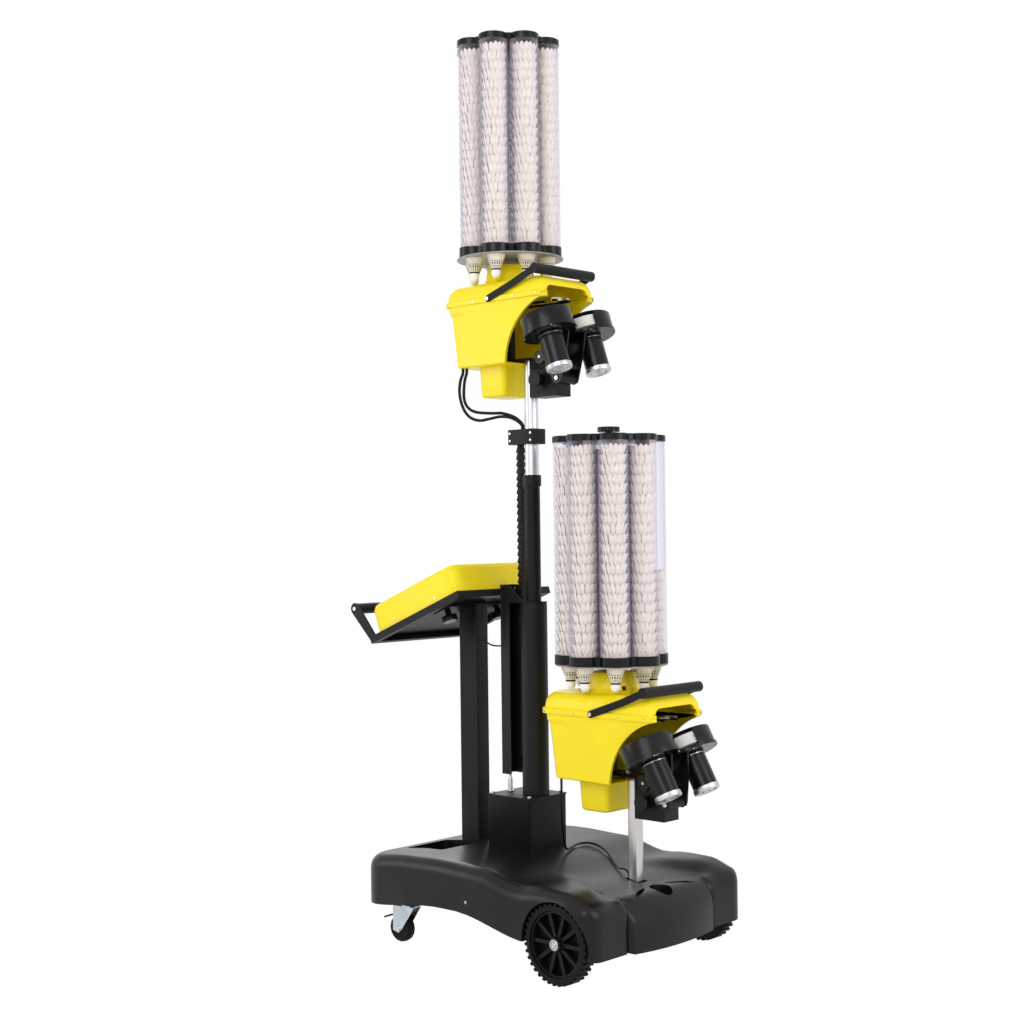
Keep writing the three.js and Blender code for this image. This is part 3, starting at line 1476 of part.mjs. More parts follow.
// The two-finger claw that hands a shuttle to the wheels, sliding on the two rails
function feederClaw() {
  const z0 = guideZ + guideHeight + runGap;
  const cheek = guideOuterY + runGap;
  const rear = clawFront - clawLength;
  const outline = new THREE.Shape();
  outline.moveTo(rear, -cheek - clawCheek);
  outline.lineTo(rear + clawCheekLength, -cheek - clawCheek);
  outline.lineTo(clawFront, -clawGap);
  outline.lineTo(clawFront, -clawGap / 2);
  outline.lineTo(clawFront - clawGapDepth + clawGap / 2, -clawGap / 2);
  outline.absarc(clawFront - clawGapDepth + clawGap / 2, 0, clawGap / 2, 1.5 * Math.PI, Math.PI / 2, true);
  outline.lineTo(clawFront, clawGap / 2);
  outline.lineTo(clawFront, clawGap);
  outline.lineTo(rear + clawCheekLength, cheek + clawCheek);
  outline.lineTo(rear, cheek + clawCheek);
  const side = (y0, y1) => box(rear, rear + clawCheekLength, y0, y1, guideZ, z0 + clawThickness);
  return join(raised(outline, z0, z0 + clawThickness, 2 * cornerSteps), side(-cheek - clawCheek, -cheek),
    side(cheek, cheek + clawCheek));
}

function launcherGroup(prefix, pitch) {
  const group = new THREE.Group();
  group.position.set(pivotX, 0, pivotZ);
  group.rotation.y = -rad(pitch);
  group.add(part(prefix + "launcher_frame", launcherFrame(), finish.powder));
  for (const side of [-1, 1]) {
    const hand = side > 0 ? "left" : "right";
    const wheel = part(prefix + "flywheel_" + hand, flywheel(), finish.foam);
    wheel.position.set(wheelForward, side * wheelSpread, 0);
    const motor = part(prefix + "drive_motor_" + hand, driveMotor(), finish.motor);
    motor.position.set(wheelForward, side * wheelSpread, 0);
    group.add(wheel, motor);
  }
  return group;
}

function magazineGroup(prefix, phase, fills) {
  const group = new THREE.Group();
  group.position.x = spindleX;
  group.rotation.z = phase;
  group.add(part(prefix + "carousel", carousel(fills), finish.feather));
  group.add(part(prefix + "magazine_tubes", magazineTubes(), finish.clear));
  group.add(part(prefix + "magazine_lid", magazineLid(), finish.gloss));
  group.add(part(prefix + "lid_knob", lidKnob(), finish.gloss));
  return group;
}

function head(prefix, x, z, pitch, phase, fills) {
  const group = new THREE.Group();
  group.position.set(x, 0, z);
  group.add(part(prefix + "housing_body", housingBody(), finish.yellow));
  group.add(part(prefix + "housing_lid", housingLid(), finish.yellow));
  group.add(part(prefix + "head_frame", headFrame(), finish.powder));
  group.add(part(prefix + "bail_handle", bailHandle(), finish.powder));
  group.add(part(prefix + "feeder_claw", feederClaw(), finish.steel));
  group.add(launcherGroup(prefix, pitch), magazineGroup(prefix, phase, fills));
  return group;
}

const machine = new THREE.Group();
machine.add(part("base_cover", baseCover(), finish.cover));
machine.add(part("base_frame", baseFrame(), finish.powder));
machine.add(frontWheel(-1), frontWheel(1), caster(-1), caster(1));
machine.add(part("lift_box", liftBox(), finish.powder));
machine.add(part("cable_connector", cableConnector(), finish.steel));
machine.add(part("mast_outer_tube", mastOuterTube(), finish.powder));
machine.add(part("mast_inner_tube", mastInnerTube(), finish.powder));
machine.add(part("mast_head_tube", mastHeadTube(), finish.aluminium));
machine.add(part("cable_clamp_block", cableClampBlock(), finish.powder));
machine.add(part("drag_chain", dragChain(), finish.nylon));
machine.add(part("chain_channel", chainChannel(), finish.powder));
machine.add(part("console_post", consolePost(), finish.powder));
machine.add(consoleGroup());
machine.add(part("stand_post", standPost(), finish.steel));
machine.add(head("upper_", mastX, upperHeadZ, upperPitch, Math.PI / tubesPerHead, upperFills));
machine.add(head("lower_", standX, lowerHeadZ, lowerPitch, 0, lowerFills));
machine.add(part("upper_head_cable_a", cable(upperRouteA, headCableRadius), finish.cable));
machine.add(part("upper_head_cable_b", cable(upperRouteB, headCableRadius), finish.cable));
machine.add(part("lower_head_cable", cable(lowerRoute, deckCableRadius), finish.cable));
machine.add(part("console_cable", cable(consoleRoute, consoleCableRadius), finish.cable));

// The origin comes to the middle of the machine's length
const reach = new THREE.Box3().setFromObject(machine, true);
machine.position.x = -(reach.min.x + reach.max.x) / 2;

const root = new THREE.Group();
root.add(machine);

export default root;
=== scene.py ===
import json
import random
from collections import namedtuple
from math import cos, hypot, pi, radians, sin, sqrt

import bmesh
import bpy
from mathutils import Matrix, Vector


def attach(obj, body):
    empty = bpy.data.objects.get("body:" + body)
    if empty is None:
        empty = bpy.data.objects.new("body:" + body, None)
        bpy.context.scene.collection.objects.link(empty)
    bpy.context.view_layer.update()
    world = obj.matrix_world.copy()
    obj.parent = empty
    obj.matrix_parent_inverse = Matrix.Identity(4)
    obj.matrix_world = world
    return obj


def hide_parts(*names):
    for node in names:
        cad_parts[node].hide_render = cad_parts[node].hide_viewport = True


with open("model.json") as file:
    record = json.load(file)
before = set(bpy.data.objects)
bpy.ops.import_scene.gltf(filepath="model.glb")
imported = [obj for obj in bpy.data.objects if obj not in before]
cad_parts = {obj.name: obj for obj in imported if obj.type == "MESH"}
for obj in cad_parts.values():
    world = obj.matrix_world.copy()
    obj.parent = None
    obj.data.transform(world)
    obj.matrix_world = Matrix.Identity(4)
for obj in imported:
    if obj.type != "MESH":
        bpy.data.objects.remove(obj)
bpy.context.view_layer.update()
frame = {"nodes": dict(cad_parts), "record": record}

# What the frame says of each node
NODES = frame["nodes"]
BODY = {node: body for body, nodes in frame["record"]["behaviour"]["bodies"].items() for node in nodes}
SLOT = {part["node"]: part["material_slot"] for part in frame["record"]["subparts"]}

# Main places in millimetres, along X from the source's own origin
MM = 0.001
SHIFT = -30.5606  # from the source's X to the frame's X
MAST, STAND, LIFT_BOX, CONSOLE_POST = 28, 379, -6, -207
AXLE_X, AXLE_Z = 372, 101.6
SIDES = {"right": -1, "left": 1}  # the sign of Y

# Each head's place in the frame, the launcher's pitch and the magazine's turn in degrees
Head = namedtuple("Head", "x z pitch spin")
HEADS = {"upper": Head(MAST + SHIFT, 1583.0, 18.5, 22.5), "lower": Head(STAND + SHIFT, 470.0, 29.0, 0.0)}

# Camera, fitted to the photograph: degrees, pixels and millimetres
CAM_AZIMUTH, CAM_PITCH, CAM_ROLL = 43.28, -0.62, -0.70
CAM_FOCAL, IMAGE_WIDTH, SENSOR = 1617.2, 1024, 36
CAM_PLACE = (3025.05 + MAST + SHIFT, -3295.57, 1130.0)
SEES_FAR = 100  # metres


def link_object(name, data):
    ob = bpy.data.objects.new(name, data)
    bpy.context.scene.collection.objects.link(ob)
    return ob


def camera():
    azimuth, pitch, roll = (radians(a) for a in (CAM_AZIMUTH, CAM_PITCH, CAM_ROLL))
    back = Vector((sin(azimuth) * cos(pitch), -cos(azimuth) * cos(pitch), sin(pitch)))
    level = Vector((cos(azimuth), sin(azimuth), 0))
    above = back.cross(level)
    right = level * cos(roll) + above * sin(roll)
    up = -level * sin(roll) + above * cos(roll)
    data = bpy.data.cameras.new("view")
    data.sensor_fit = "HORIZONTAL"
    data.sensor_width = SENSOR
    data.lens = CAM_FOCAL / IMAGE_WIDTH * SENSOR
    data.clip_end = SEES_FAR
    stand = Matrix((right, up, back)).transposed().to_4x4()
    stand.translation = Vector(CAM_PLACE) * MM
    ob = link_object("view", data)
    ob.matrix_world = stand
    bpy.context.scene.camera = ob


camera()

# Materials
GRAIN_DEPTH = 0.0006  # metres, of the bump in every finish
GLOSS_SPREAD = 0.12  # how far a finish's roughness strays from its mean
COAT_ROUGHNESS = 0.08
PATCH_RANGE, GLOSS_RANGE = (0.3, 0.72), (0.3, 0.7)  # of the broad noise
EDGE_RANGE = (0.52, 0.62)  # of the pointiness, from flat to a worn edge
WORN_GAIN, WORN_LIFT = 1.6, 0.06  # a worn edge's colour, from the finish's own
PALE_SHARE = 0.6  # of the spread, by which a finish's pale patches are lighter
WHITE = (1, 1, 1, 1)


def node_of(tree, kind, **inputs):
    node = tree.nodes.new(kind)
    for name, value in inputs.items():
        node.inputs[name.replace("_", " ")].default_value = value
    return node


def new_material(name):
    material = bpy.data.materials.new(name)
    material.use_nodes = True
    tree = material.node_tree
    return material, tree, tree.nodes["Principled BSDF"], tree.links.new


def ranged(tree, value, low, high, out_low, out_high):
    """A socket that goes from out_low to out_high while the value goes from low to high."""
    node = node_of(tree, "ShaderNodeMapRange", From_Min=low, From_Max=high, To_Min=out_low, To_Max=out_high)
    tree.links.new(value, node.inputs["Value"])
    return node.outputs["Result"]


def scaled(color, factor, extra=0.0):
    return [min(1, c * factor + extra) for c in color] + [1]


def coat(name, color, rough, metal=0.0, spread=0.12, grain=900.0, bump=0.05, streak=None, wear=0.0,
         clear=0.0, sheen=0.0, blotch=9.0, specular=0.5):
    """A procedural finish: a colour that varies, worn edges, uneven gloss and fine grain in the bump."""
    material, tree, shader, link = new_material(name)
    for socket, value in (("Metallic", metal), ("Coat Weight", clear), ("Coat Roughness", COAT_ROUGHNESS),
                          ("Sheen Weight", sheen), ("Specular IOR Level", specular)):
        shader.inputs[socket].default_value = value
    where = tree.nodes.new("ShaderNodeTexCoord").outputs["Object"]
    if streak:
        stretched = node_of(tree, "ShaderNodeMapping", Scale=streak)
        link(where, stretched.inputs["Vector"])
        where = stretched.outputs["Vector"]
    broad = node_of(tree, "ShaderNodeTexNoise", Scale=blotch, Detail=5.0, Roughness=0.6)
    fine = node_of(tree, "ShaderNodeTexNoise", Scale=grain, Detail=2.0)
    for noise in (broad, fine):
        link(where, noise.inputs["Vector"])
    ramp = tree.nodes.new("ShaderNodeValToRGB")
    dark, pale = ramp.color_ramp.elements
    dark.position, pale.position = PATCH_RANGE
    dark.color = scaled(color, 1 - spread)
    pale.color = scaled(color, 1 + spread * PALE_SHARE)
    link(broad.outputs["Fac"], ramp.inputs["Fac"])
    tint = ramp.outputs["Color"]
    if wear:
        pointed = tree.nodes.new("ShaderNodeNewGeometry").outputs["Pointiness"]
        worn = tree.nodes.new("ShaderNodeMix")
        worn.data_type = "RGBA"
        worn.inputs["B"].default_value = scaled(color, WORN_GAIN, WORN_LIFT)
        link(ranged(tree, pointed, *EDGE_RANGE, 0.0, wear), worn.inputs["Factor"])
        link(tint, worn.inputs["A"])
        tint = worn.outputs["Result"]
    link(tint, shader.inputs["Base Color"])
    low, high = rough * (1 - GLOSS_SPREAD), rough * (1 + GLOSS_SPREAD)
    link(ranged(tree, broad.outputs["Fac"], *GLOSS_RANGE, low, high), shader.inputs["Roughness"])
    relief = node_of(tree, "ShaderNodeBump", Strength=bump, Distance=GRAIN_DEPTH)
    link(fine.outputs["Fac"], relief.inputs["Height"])
    link(relief.outputs["Normal"], shader.inputs["Normal"])
    return material


def clear_plastic(name):
    """Clear tube wall: see-through head on, bright and slightly violet where it is seen edge on."""
    material, tree, shader, link = new_material(name)
    shader.inputs["Roughness"].default_value = 0.06
    shader.inputs["Base Color"].default_value = (0.80, 0.77, 0.90, 1)
    through = node_of(tree, "ShaderNodeBsdfTransparent", Color=(0.985, 0.98, 1.0, 1))
    edge_on = node_of(tree, "ShaderNodeLayerWeight", Blend=0.18).outputs["Facing"]
    mix = tree.nodes.new("ShaderNodeMixShader")
    link(ranged(tree, edge_on, 0.0, 1.0, 0.03, 0.62), mix.inputs["Fac"])
    link(through.outputs[0], mix.inputs[1])
    link(shader.outputs[0], mix.inputs[2])
    link(mix.outputs[0], tree.nodes["Material Output"].inputs["Surface"])
    return material


# Finishes: a linear colour, a roughness and what differs from coat()'s own values
FINISHES = {
    "cart_plastic": dict(color=(0.0042, 0.0042, 0.0054), rough=0.34, grain=1500, bump=0.10, spread=0.25,
                         wear=0.10, specular=0.26),
    "powder_coat": dict(color=(0.0048, 0.0050, 0.0064), rough=0.44, grain=2600, bump=0.2, spread=0.2,
                        wear=0.14, specular=0.17),
    "yellow_shell": dict(color=(0.95, 0.755, 0.006), rough=0.36, grain=1300, spread=0.03, clear=0.05,
                         specular=0.3),
    "display": dict(color=(0.006, 0.0065, 0.009), rough=0.12, grain=300, bump=0.01, clear=0.3, specular=0.3),
    "gloss_black": dict(color=(0.0040, 0.0040, 0.0048), rough=0.24, bump=0.03, wear=0.1, specular=0.22),
    "motor_black": dict(color=(0.0038, 0.0038, 0.0044), rough=0.24, specular=0.24),
    "nylon": dict(color=(0.0045, 0.0045, 0.005), rough=0.5, grain=1800, bump=0.1, wear=0.15, specular=0.18),
    "tyre_rubber": dict(color=(0.0050, 0.0050, 0.0053), rough=0.62, grain=1600, bump=0.25, spread=0.3,
                        specular=0.15),
    "cable_sheath": dict(color=(0.0045, 0.0045, 0.005), rough=0.45, grain=1500, bump=0.12, specular=0.2),
    "steel": dict(color=(0.62, 0.60, 0.58), rough=0.26, metal=1.0, streak=(1, 1, 0.03), grain=1400,
                  bump=0.06),
    "bare_aluminium": dict(color=(0.66, 0.66, 0.70), rough=0.34, metal=1.0, streak=(1, 1, 0.02), grain=1800,
                           bump=0.06),
    "zinc_plate": dict(color=(0.55, 0.60, 0.66), rough=0.3, metal=1.0, grain=700, bump=0.08, spread=0.2,
                       blotch=30),
    "cast_silver": dict(color=(0.62, 0.62, 0.64), rough=0.38, metal=1.0, grain=1200, bump=0.15, spread=0.25,
                        blotch=60),
    "screw_steel": dict(color=(0.6, 0.6, 0.62), rough=0.25, metal=1.0),
    "disc_grey": dict(color=(0.34, 0.34, 0.37), rough=0.42, grain=1500, bump=0.08, specular=0.3),
    "wheel_foam": dict(color=(0.74, 0.72, 0.68), rough=0.6, grain=1400, bump=0.3, spread=0.08),
    "feather": dict(color=(0.99, 0.885, 0.775), rough=0.75, streak=(1, 1, 0.15), grain=2400, bump=0.3,
                    spread=0.13, blotch=160, sheen=0.2, specular=0.2),
    # painted shade: a darker feather colour for the stacks' cores, standing in for the shade between the rows
    "painted_feather_shade": dict(color=(0.62, 0.47, 0.34), rough=0.8, streak=(1, 1, 0.2), grain=1800, bump=0.3,
                          spread=0.3, blotch=120, specular=0.1),
    "cork_white": dict(color=(0.93, 0.92, 0.89), rough=0.45, grain=2500, bump=0.15, spread=0.04),
    "band_black": dict(color=(0.006, 0.006, 0.006), rough=0.4, grain=1500, specular=0.2),
    "thread": dict(color=(0.86, 0.80, 0.66), rough=0.6, grain=3000, bump=0.3),
    # painted shade: a dark brown for the cone inside a hanging shuttle's quills, standing in for the shade
    # between them
    "slot_painted_shade": dict(color=(0.11, 0.085, 0.055), rough=0.8, grain=1200, bump=0.2, specular=0.1),
}
MATS = {name: coat(name, **finish) for name, finish in FINISHES.items()}
MATS["clear_tube"] = clear_plastic("clear_tube")


# Mesh helpers, in millimetres of the frame
def place(name, bm, body, mat, node=None, smooth=35, bevel=0.0, segments=2, bevel_angle=35):
    """Makes a mesh object of a bmesh, gives it its finish and lets it ride."""
    me = bpy.data.meshes.new(name)
    bmesh.ops.recalc_face_normals(bm, faces=bm.faces)
    bm.to_mesh(me)
    bm.free()
    me.transform(Matrix.Scale(MM, 4))
    me.materials.append(MATS[mat])
    me.shade_smooth()
    me.set_sharp_from_angle(angle=radians(smooth))
    ob = link_object(name, me)
    if bevel:
        mod = ob.modifiers.new("edge", "BEVEL")
        mod.width, mod.segments = bevel * MM, segments
        mod.limit_method, mod.angle_limit = "ANGLE", radians(bevel_angle)
        mod.harden_normals = True
        mod.miter_outer = "MITER_ARC"
    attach(ob, body)
    if node:
        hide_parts(node)


def place_screws(name, bm, body):
    place(name, bm, body, "screw_steel", smooth=30)


def add(bm, verts, faces, matrix=None):
    made = [bm.verts.new(matrix @ Vector(v) if matrix else v) for v in verts]
    for face in faces:
        bm.faces.new([made[i] for i in face])


def polar(radius, angle):
    return radius * cos(angle), radius * sin(angle)


def lathe(bm, profile, sides, matrix=None, closed=False):
    """A body of revolution about Z from (radius, height) pairs; a radius of 0 closes it."""
    rings, verts, faces = [], [], []
    for radius, z in profile:
        if radius == 0:
            rings.append([len(verts)])
            verts.append((0, 0, z))
        else:
            rings.append([len(verts) + i for i in range(sides)])
            verts += [(*polar(radius, 2 * pi * i / sides), z) for i in range(sides)]
    for a, b in list(zip(rings, rings[1:])) + ([(rings[-1], rings[0])] if closed else []):
        for i in range(sides):
            j = (i + 1) % sides
            if len(a) == 1:
                faces.append((a[0], b[i], b[j]))
            elif len(b) == 1:
                faces.append((a[i], a[j], b[0]))
            else:
                faces.append((a[i], a[j], b[j], b[i]))
    add(bm, verts, faces, matrix)


def lathed(profile, sides, matrix=None, closed=False):
    bm = bmesh.new()
    lathe(bm, profile, sides, matrix, closed)
    return bm


def turned(x=0.0, y=0.0, z=0.0, rx=0.0, ry=0.0, rz=0.0):
    """Matrix of a place in millimetres and turns in degrees about X, then Y, then Z."""
    turns = [Matrix.Rotation(radians(angle), 4, axis) for angle, axis in ((rz, "Z"), (ry, "Y"), (rx, "X"))]
    return Matrix.Translation((x, y, z)) @ turns[0] @ turns[1] @ turns[2]


def facing_out(x, side, y, z):
    """Matrix of a place on the right or left wall, with Z pointing out of the wall."""
    return turned(x, side * y, z, rx=-side * 90)


# Free cables: routes are the source's own points
CABLE_STEPS = 6  # steps from one point of a route to the next


def between(p0, p1, p2, p3, u):
    """A point on the smooth curve from p1 to p2."""
    return 0.5 * ((2 * p1) + (p2 - p0) * u + (2 * p0 - 5 * p1 + 4 * p2 - p3) * u * u
                  + (3 * p1 - p0 - 3 * p2 + p3) * u ** 3)


def cable(name, node, route, radius):
    """A cable as one tube along a smooth curve through the route's points."""
    points = [Vector((x + SHIFT, y, z)) * MM for x, y, z in route]
    padded = points[:1] + points + points[-1:]
    path = [between(*padded[i:i + 4], k / CABLE_STEPS)
            for i in range(len(points) - 1) for k in range(CABLE_STEPS)]
    path.append(points[-1])
    curve = bpy.data.curves.new(name, "CURVE")
    curve.dimensions = "3D"
    spline = curve.splines.new("NURBS")
    spline.points.add(len(path) - 1)
    for knot, p in zip(spline.points, path):
        knot.co = (*p, 1)
    spline.order_u = 3
    spline.use_endpoint_u = True
    curve.bevel_depth = radius * MM
    curve.bevel_resolution = 5
    curve.use_fill_caps = True
    curve.materials.append(MATS["cable_sheath"])
    ob = link_object(name, curve)
    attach(ob, BODY[node])
    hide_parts(node)


UPPER_A = [(-156, -82, 1582.7), (-156, -82, 1570), (-162, -87, 1546), (-163, -89, 1510), (-153, -85, 1471),
           (-136, -76, 1446), (-112, -63, 1436), (-85, -49, 1440), (-58, -35, 1445), (-34, -22, 1442),
           (-14, -11, 1431), (-3, -5, 1418), (-3, -5, 1407.3)]
UPPER_B = [(-150, -73, 1582.7), (-150, -73, 1570), (-155, -77, 1546), (-156, -79, 1503), (-147, -75, 1476),
           (-127, -64, 1461), (-90, -42, 1456), (-60, -25, 1455), (-33, -9, 1445), (-17, 2, 1431),
           (-9, 6, 1418), (-9, 6, 1407.3)]
LOWER = [(195, -82, 469.7), (195, -82, 455), (193, -80, 430), (186, -72, 392), (176, -58, 348),
         (163, -40, 306), (151, -20, 275), (141, 0, 261.5), (128, 32, 260), (114, 68, 260.5), (110, 96, 260),
         (122, 116, 258.5), (150, 120, 254), (187, 106, 247), (226, 82, 237), (266, 54, 229), (300, 30, 227),
         (328, 13, 232), (347, 3, 230), (358, -3, 221), (360.4, -5, 203), (360.4, -6, 170),
         (360.4, -6, 139.3)]
CONSOLE = [(-120, -60, 946), (-114.9, -60, 933), (-110, -62, 915), (-108, -66, 890), (-110, -70, 865),
           (-112, -66, 840), (-108, -54, 819), (-100, -36, 807), (-93, -20, 804), (-85, -8, 804),
           (-76.3, -8, 804)]
CABLES = [("upper_cable_a", "upper_head_cable_a", UPPER_A, 4.2),
          ("upper_cable_b", "upper_head_cable_b", UPPER_B, 4.2),
          ("lower_cable", "lower_head_cable", LOWER, 3.2),
          ("console_lead", "console_cable", CONSOLE, 2.2)]
for cable_facts in CABLES:
    cable(*cable_facts)

# Stage: a white floor and room, and four lamps that look at the machine's middle, in metres and watts
FLOOR_HALF = 9.0
FLOOR_GREY, FLOOR_WHITE_SHARE = 0.9, 0.985
ROOM_LIGHT = 0.62
LOOK_AT = Vector((0, 0, 1.2))
LAMPS = (("key", (1.6, -4.2, 3.4), 2.6, 86), ("side", (4.6, 0.6, 2.4), 2.2, 60),
         ("back", (-3.6, 2.6, 3.2), 2.2, 45), ("left", (-3.4, -3.2, 1.8), 1.8, 34))


def seen_straight(tree):
    """1 for the rays that must meet plain white: from the camera, mirrored, or through clear plastic."""
    path = tree.nodes.new("ShaderNodeLightPath")
    last = path.outputs["Is Camera Ray"]
    for kind in ("Is Glossy Ray", "Is Transmission Ray"):
        most = tree.nodes.new("ShaderNodeMath")
        most.operation = "MAXIMUM"
        tree.links.new(last, most.inputs[0])
        tree.links.new(path.outputs[kind], most.inputs[1])
        last = most.outputs[0]
    return last


def mixed(tree, share, usual, white, output):
    mix = tree.nodes.new("ShaderNodeMixShader")
    tree.links.new(share, mix.inputs["Fac"])
    tree.links.new(usual.outputs[0], mix.inputs[1])
    tree.links.new(white.outputs[0], mix.inputs[2])
    tree.links.new(mix.outputs[0], tree.nodes[output].inputs["Surface"])


def floor():
    """White where it is seen, but for the little that shows the machine's shadow."""
    material, tree, shader, link = new_material("floor")
    shader.inputs["Base Color"].default_value = (FLOOR_GREY, FLOOR_GREY, FLOOR_GREY, 1)
    shader.inputs["Roughness"].default_value = 0.9
    white = node_of(tree, "ShaderNodeEmission", Strength=1.0, Color=WHITE)
    share = tree.nodes.new("ShaderNodeMath")
    share.operation = "MULTIPLY"
    share.inputs[1].default_value = FLOOR_WHITE_SHARE
    link(seen_straight(tree), share.inputs[0])
    mixed(tree, share.outputs[0], shader, white, "Material Output")
    bm = bmesh.new()
    half = FLOOR_HALF
    add(bm, [(-half, -half, 0), (half, -half, 0), (half, half, 0), (-half, half, 0)], [(0, 1, 2, 3)])
    me = bpy.data.meshes.new("floor")
    bm.to_mesh(me)
    bm.free()
    me.materials.append(material)
    link_object("floor", me)


def room():
    world = bpy.data.worlds.new("room")
    bpy.context.scene.world = world
    world.use_nodes = True
    tree = world.node_tree
    usual = tree.nodes["Background"]
    usual.inputs["Color"].default_value = WHITE
    usual.inputs["Strength"].default_value = ROOM_LIGHT
    white = node_of(tree, "ShaderNodeBackground", Strength=1.0, Color=WHITE)
    mixed(tree, seen_straight(tree), usual, white, "World Output")


def lamps():
    for name, at, size, power in LAMPS:
        lamp = bpy.data.lights.new(name, "AREA")
        lamp.shape, lamp.size, lamp.energy = "RECTANGLE", size, power
        lamp.size_y = size * 1.2
        ob = link_object(name, lamp)
        ob.location = at
        ob.rotation_euler = (LOOK_AT - Vector(at)).to_track_quat("-Z", "Y").to_euler()


floor()
room()
lamps()
bpy.context.scene.view_settings.view_transform = "Standard"

# Solid modelling, in millimetres
CORNER_STEPS = 10
CLEAR = 6.0  # a cutter's reach past what it cuts


def loft(rings, bm=None, matrix=None):
    """One closed body through rings of equal length."""
    bm = bm or bmesh.new()
    n = len(rings[0])
    faces = [(r * n + k, r * n + (k + 1) % n, (r + 1) * n + (k + 1) % n, (r + 1) * n + k)
             for r in range(len(rings) - 1) for k in range(n)]
    faces += [tuple(range(n - 1, -1, -1)), tuple((len(rings) - 1) * n + k for k in range(n))]
    add(bm, [p for ring in rings for p in ring], faces, matrix)
    return bm


def prism(outline, low, high, axis="z", matrix=None):
    """An outline pulled along an axis: (x, y) along z, (x, z) along y, (y, z) along x."""
    order = {"z": (0, 1, 2), "y": (0, 2, 1), "x": (2, 0, 1)}[axis]
    rings = [[tuple((a, b, c)[i] for i in order) for a, b in outline] for c in (low, high)]
    return loft(rings, matrix=matrix)


def block(x0, x1, y0, y1, z0, z1, matrix=None):
    return prism([(x0, y0), (x1, y0), (x1, y1), (x0, y1)], z0, z1, "z", matrix)


def rod(radius, low, high, matrix=None, sides=64):
    return lathed([(0, low), (radius, low), (radius, high), (0, high)], sides, matrix)


def cross(x, z, radius, y0, y1, sides=96):
    """A round bar along Y."""
    return rod(radius, -y1, -y0, turned(x, 0, z, rx=90), sides)


def corner(x, y, radius, start):
    """A quarter turn about (x, y), from a direction in degrees."""
    turns = [radians(start + 90 * k / CORNER_STEPS) for k in range(CORNER_STEPS + 1)]
    return [(x + radius * cos(a), y + radius * sin(a)) for a in turns]


def rounded(a0, a1, b0, b1, r):
    return (corner(a1 - r, b0 + r, r, -90) + corner(a1 - r, b1 - r, r, 0)
            + corner(a0 + r, b1 - r, r, 90) + corner(a0 + r, b0 + r, r, 180))


def plate(x0, x1, half, rear, front, z):
    """A rounded rectangle at a height, with its own rear and front corner radius."""
    outline = (corner(x1 - front, -half + front, front, -90) + corner(x1 - front, half - front, front, 0)
               + corner(x0 + rear, half - rear, rear, 90) + corner(x0 + rear, -half + rear, rear, 180))
    return [(x, y, z) for x, y in outline]


def loose(bm):
    me = bpy.data.meshes.new("tool")
    bmesh.ops.recalc_face_normals(bm, faces=bm.faces)
    bm.to_mesh(me)
    bm.free()
    return link_object("tool", me)


def worked(how, base, *tools):
    """A body after others are cut from it, joined to it or kept in common with it."""
    body = loose(base)
    others = [loose(tool) for tool in tools]
    for other in others:
        mod = body.modifiers.new("work", "BOOLEAN")
        mod.operation, mod.solver, mod.object = how, "MANIFOLD", other
    graph = bpy.context.evaluated_depsgraph_get()
    out = bmesh.new()
    out.from_mesh(body.evaluated_get(graph).data)
    for ob in [body] + others:
        me = ob.data
        bpy.data.objects.remove(ob)
        bpy.data.meshes.remove(me)
    return out


def cut(base, *tools):
    return worked("DIFFERENCE", base, *tools)


def join(base, *tools):
    return worked("UNION", base, *tools)


def shifted(bm, matrix):
    bmesh.ops.transform(bm, matrix=matrix, verts=bm.verts)
    return bm


def tidied(bm):
    """A worked body without the slivers that cutting leaves."""
    sliver = 0.02
    bmesh.ops.remove_doubles(bm, verts=bm.verts, dist=sliver)
    bmesh.ops.dissolve_degenerate(bm, dist=sliver, edges=bm.edges)
    return bm


def screw(bm, matrix, radius, height, socket=True):
    """A screw's head that stands on its surface along the matrix's Z, with or without a socket."""
    foot, chamfer, depth, bore_share = -1, 0.5, 1.6, 0.5
    profile = [(0, foot), (radius, foot), (radius, height - chamfer), (radius - chamfer, height)]
    if socket:
        profile += [(radius * bore_share, height), (radius * bore_share, height - depth), (0, height - depth)]
    else:
        profile.append((0, height))
    lathe(bm, profile, 24, matrix)


# Cart cover: outline, wells and edges
HALF_L, HALF_W, REAR_X, DECK = 522.5, 321.0, -348.0, 258.0
REAR_CORNER, FRONT_CORNER = 80, 45
NOSE_HALF, NOSE_CROWN = 165.0, 18
GROOVE_WIDTH, GROOVE = 14.0, 6.0
FENDER_FRONT = HALF_L - 29.0
FENDER_INNER, FENDER_FROM, FENDER_TO = (132, 250), 275, 507  # its inner edge widens between two stations
FENDER_BLEND = 60
SIDE_FILLET, NOSE_FILLET, FENDER_FILLET = 38, 60, 32
COVER_WALL, TOP_EXTRA = 4, 2.5
WELL_RADIUS, WELL_INNER, AXLE_SLOT_HALF, AXLE_SLOT_TOP = 105.6, 272, 11.2, 112
CUP_X, CUP_RADIUS, CUP_DEPTH = 460, 30, 38
SCOOP_X, SCOOP_Y, SCOOP_HALF, SCOOP_WIDE, SCOOP_DEPTH, SCOOP_TURN = 455, 80, 46, 7, 9, 66
POCKET_REAR, POCKET_FRONT, POCKET_INNER, POCKET_OUTER = -285, -140, 46, 202
POCKET_CORNER, POCKET_DEPTH = 14, 45
POST_HOLES = ((STAND, 24, 20), (LIFT_BOX, 78.3, 75.8), (CONSOLE_POST, 35.8, 23.8))  # place, half sizes
POST_HOLE_LOW = 129


def line(shares):
    """Stations of a line along the cover, from shares of its half length and its height."""
    return [(a * HALF_L, b * DECK) for a, b in shares]


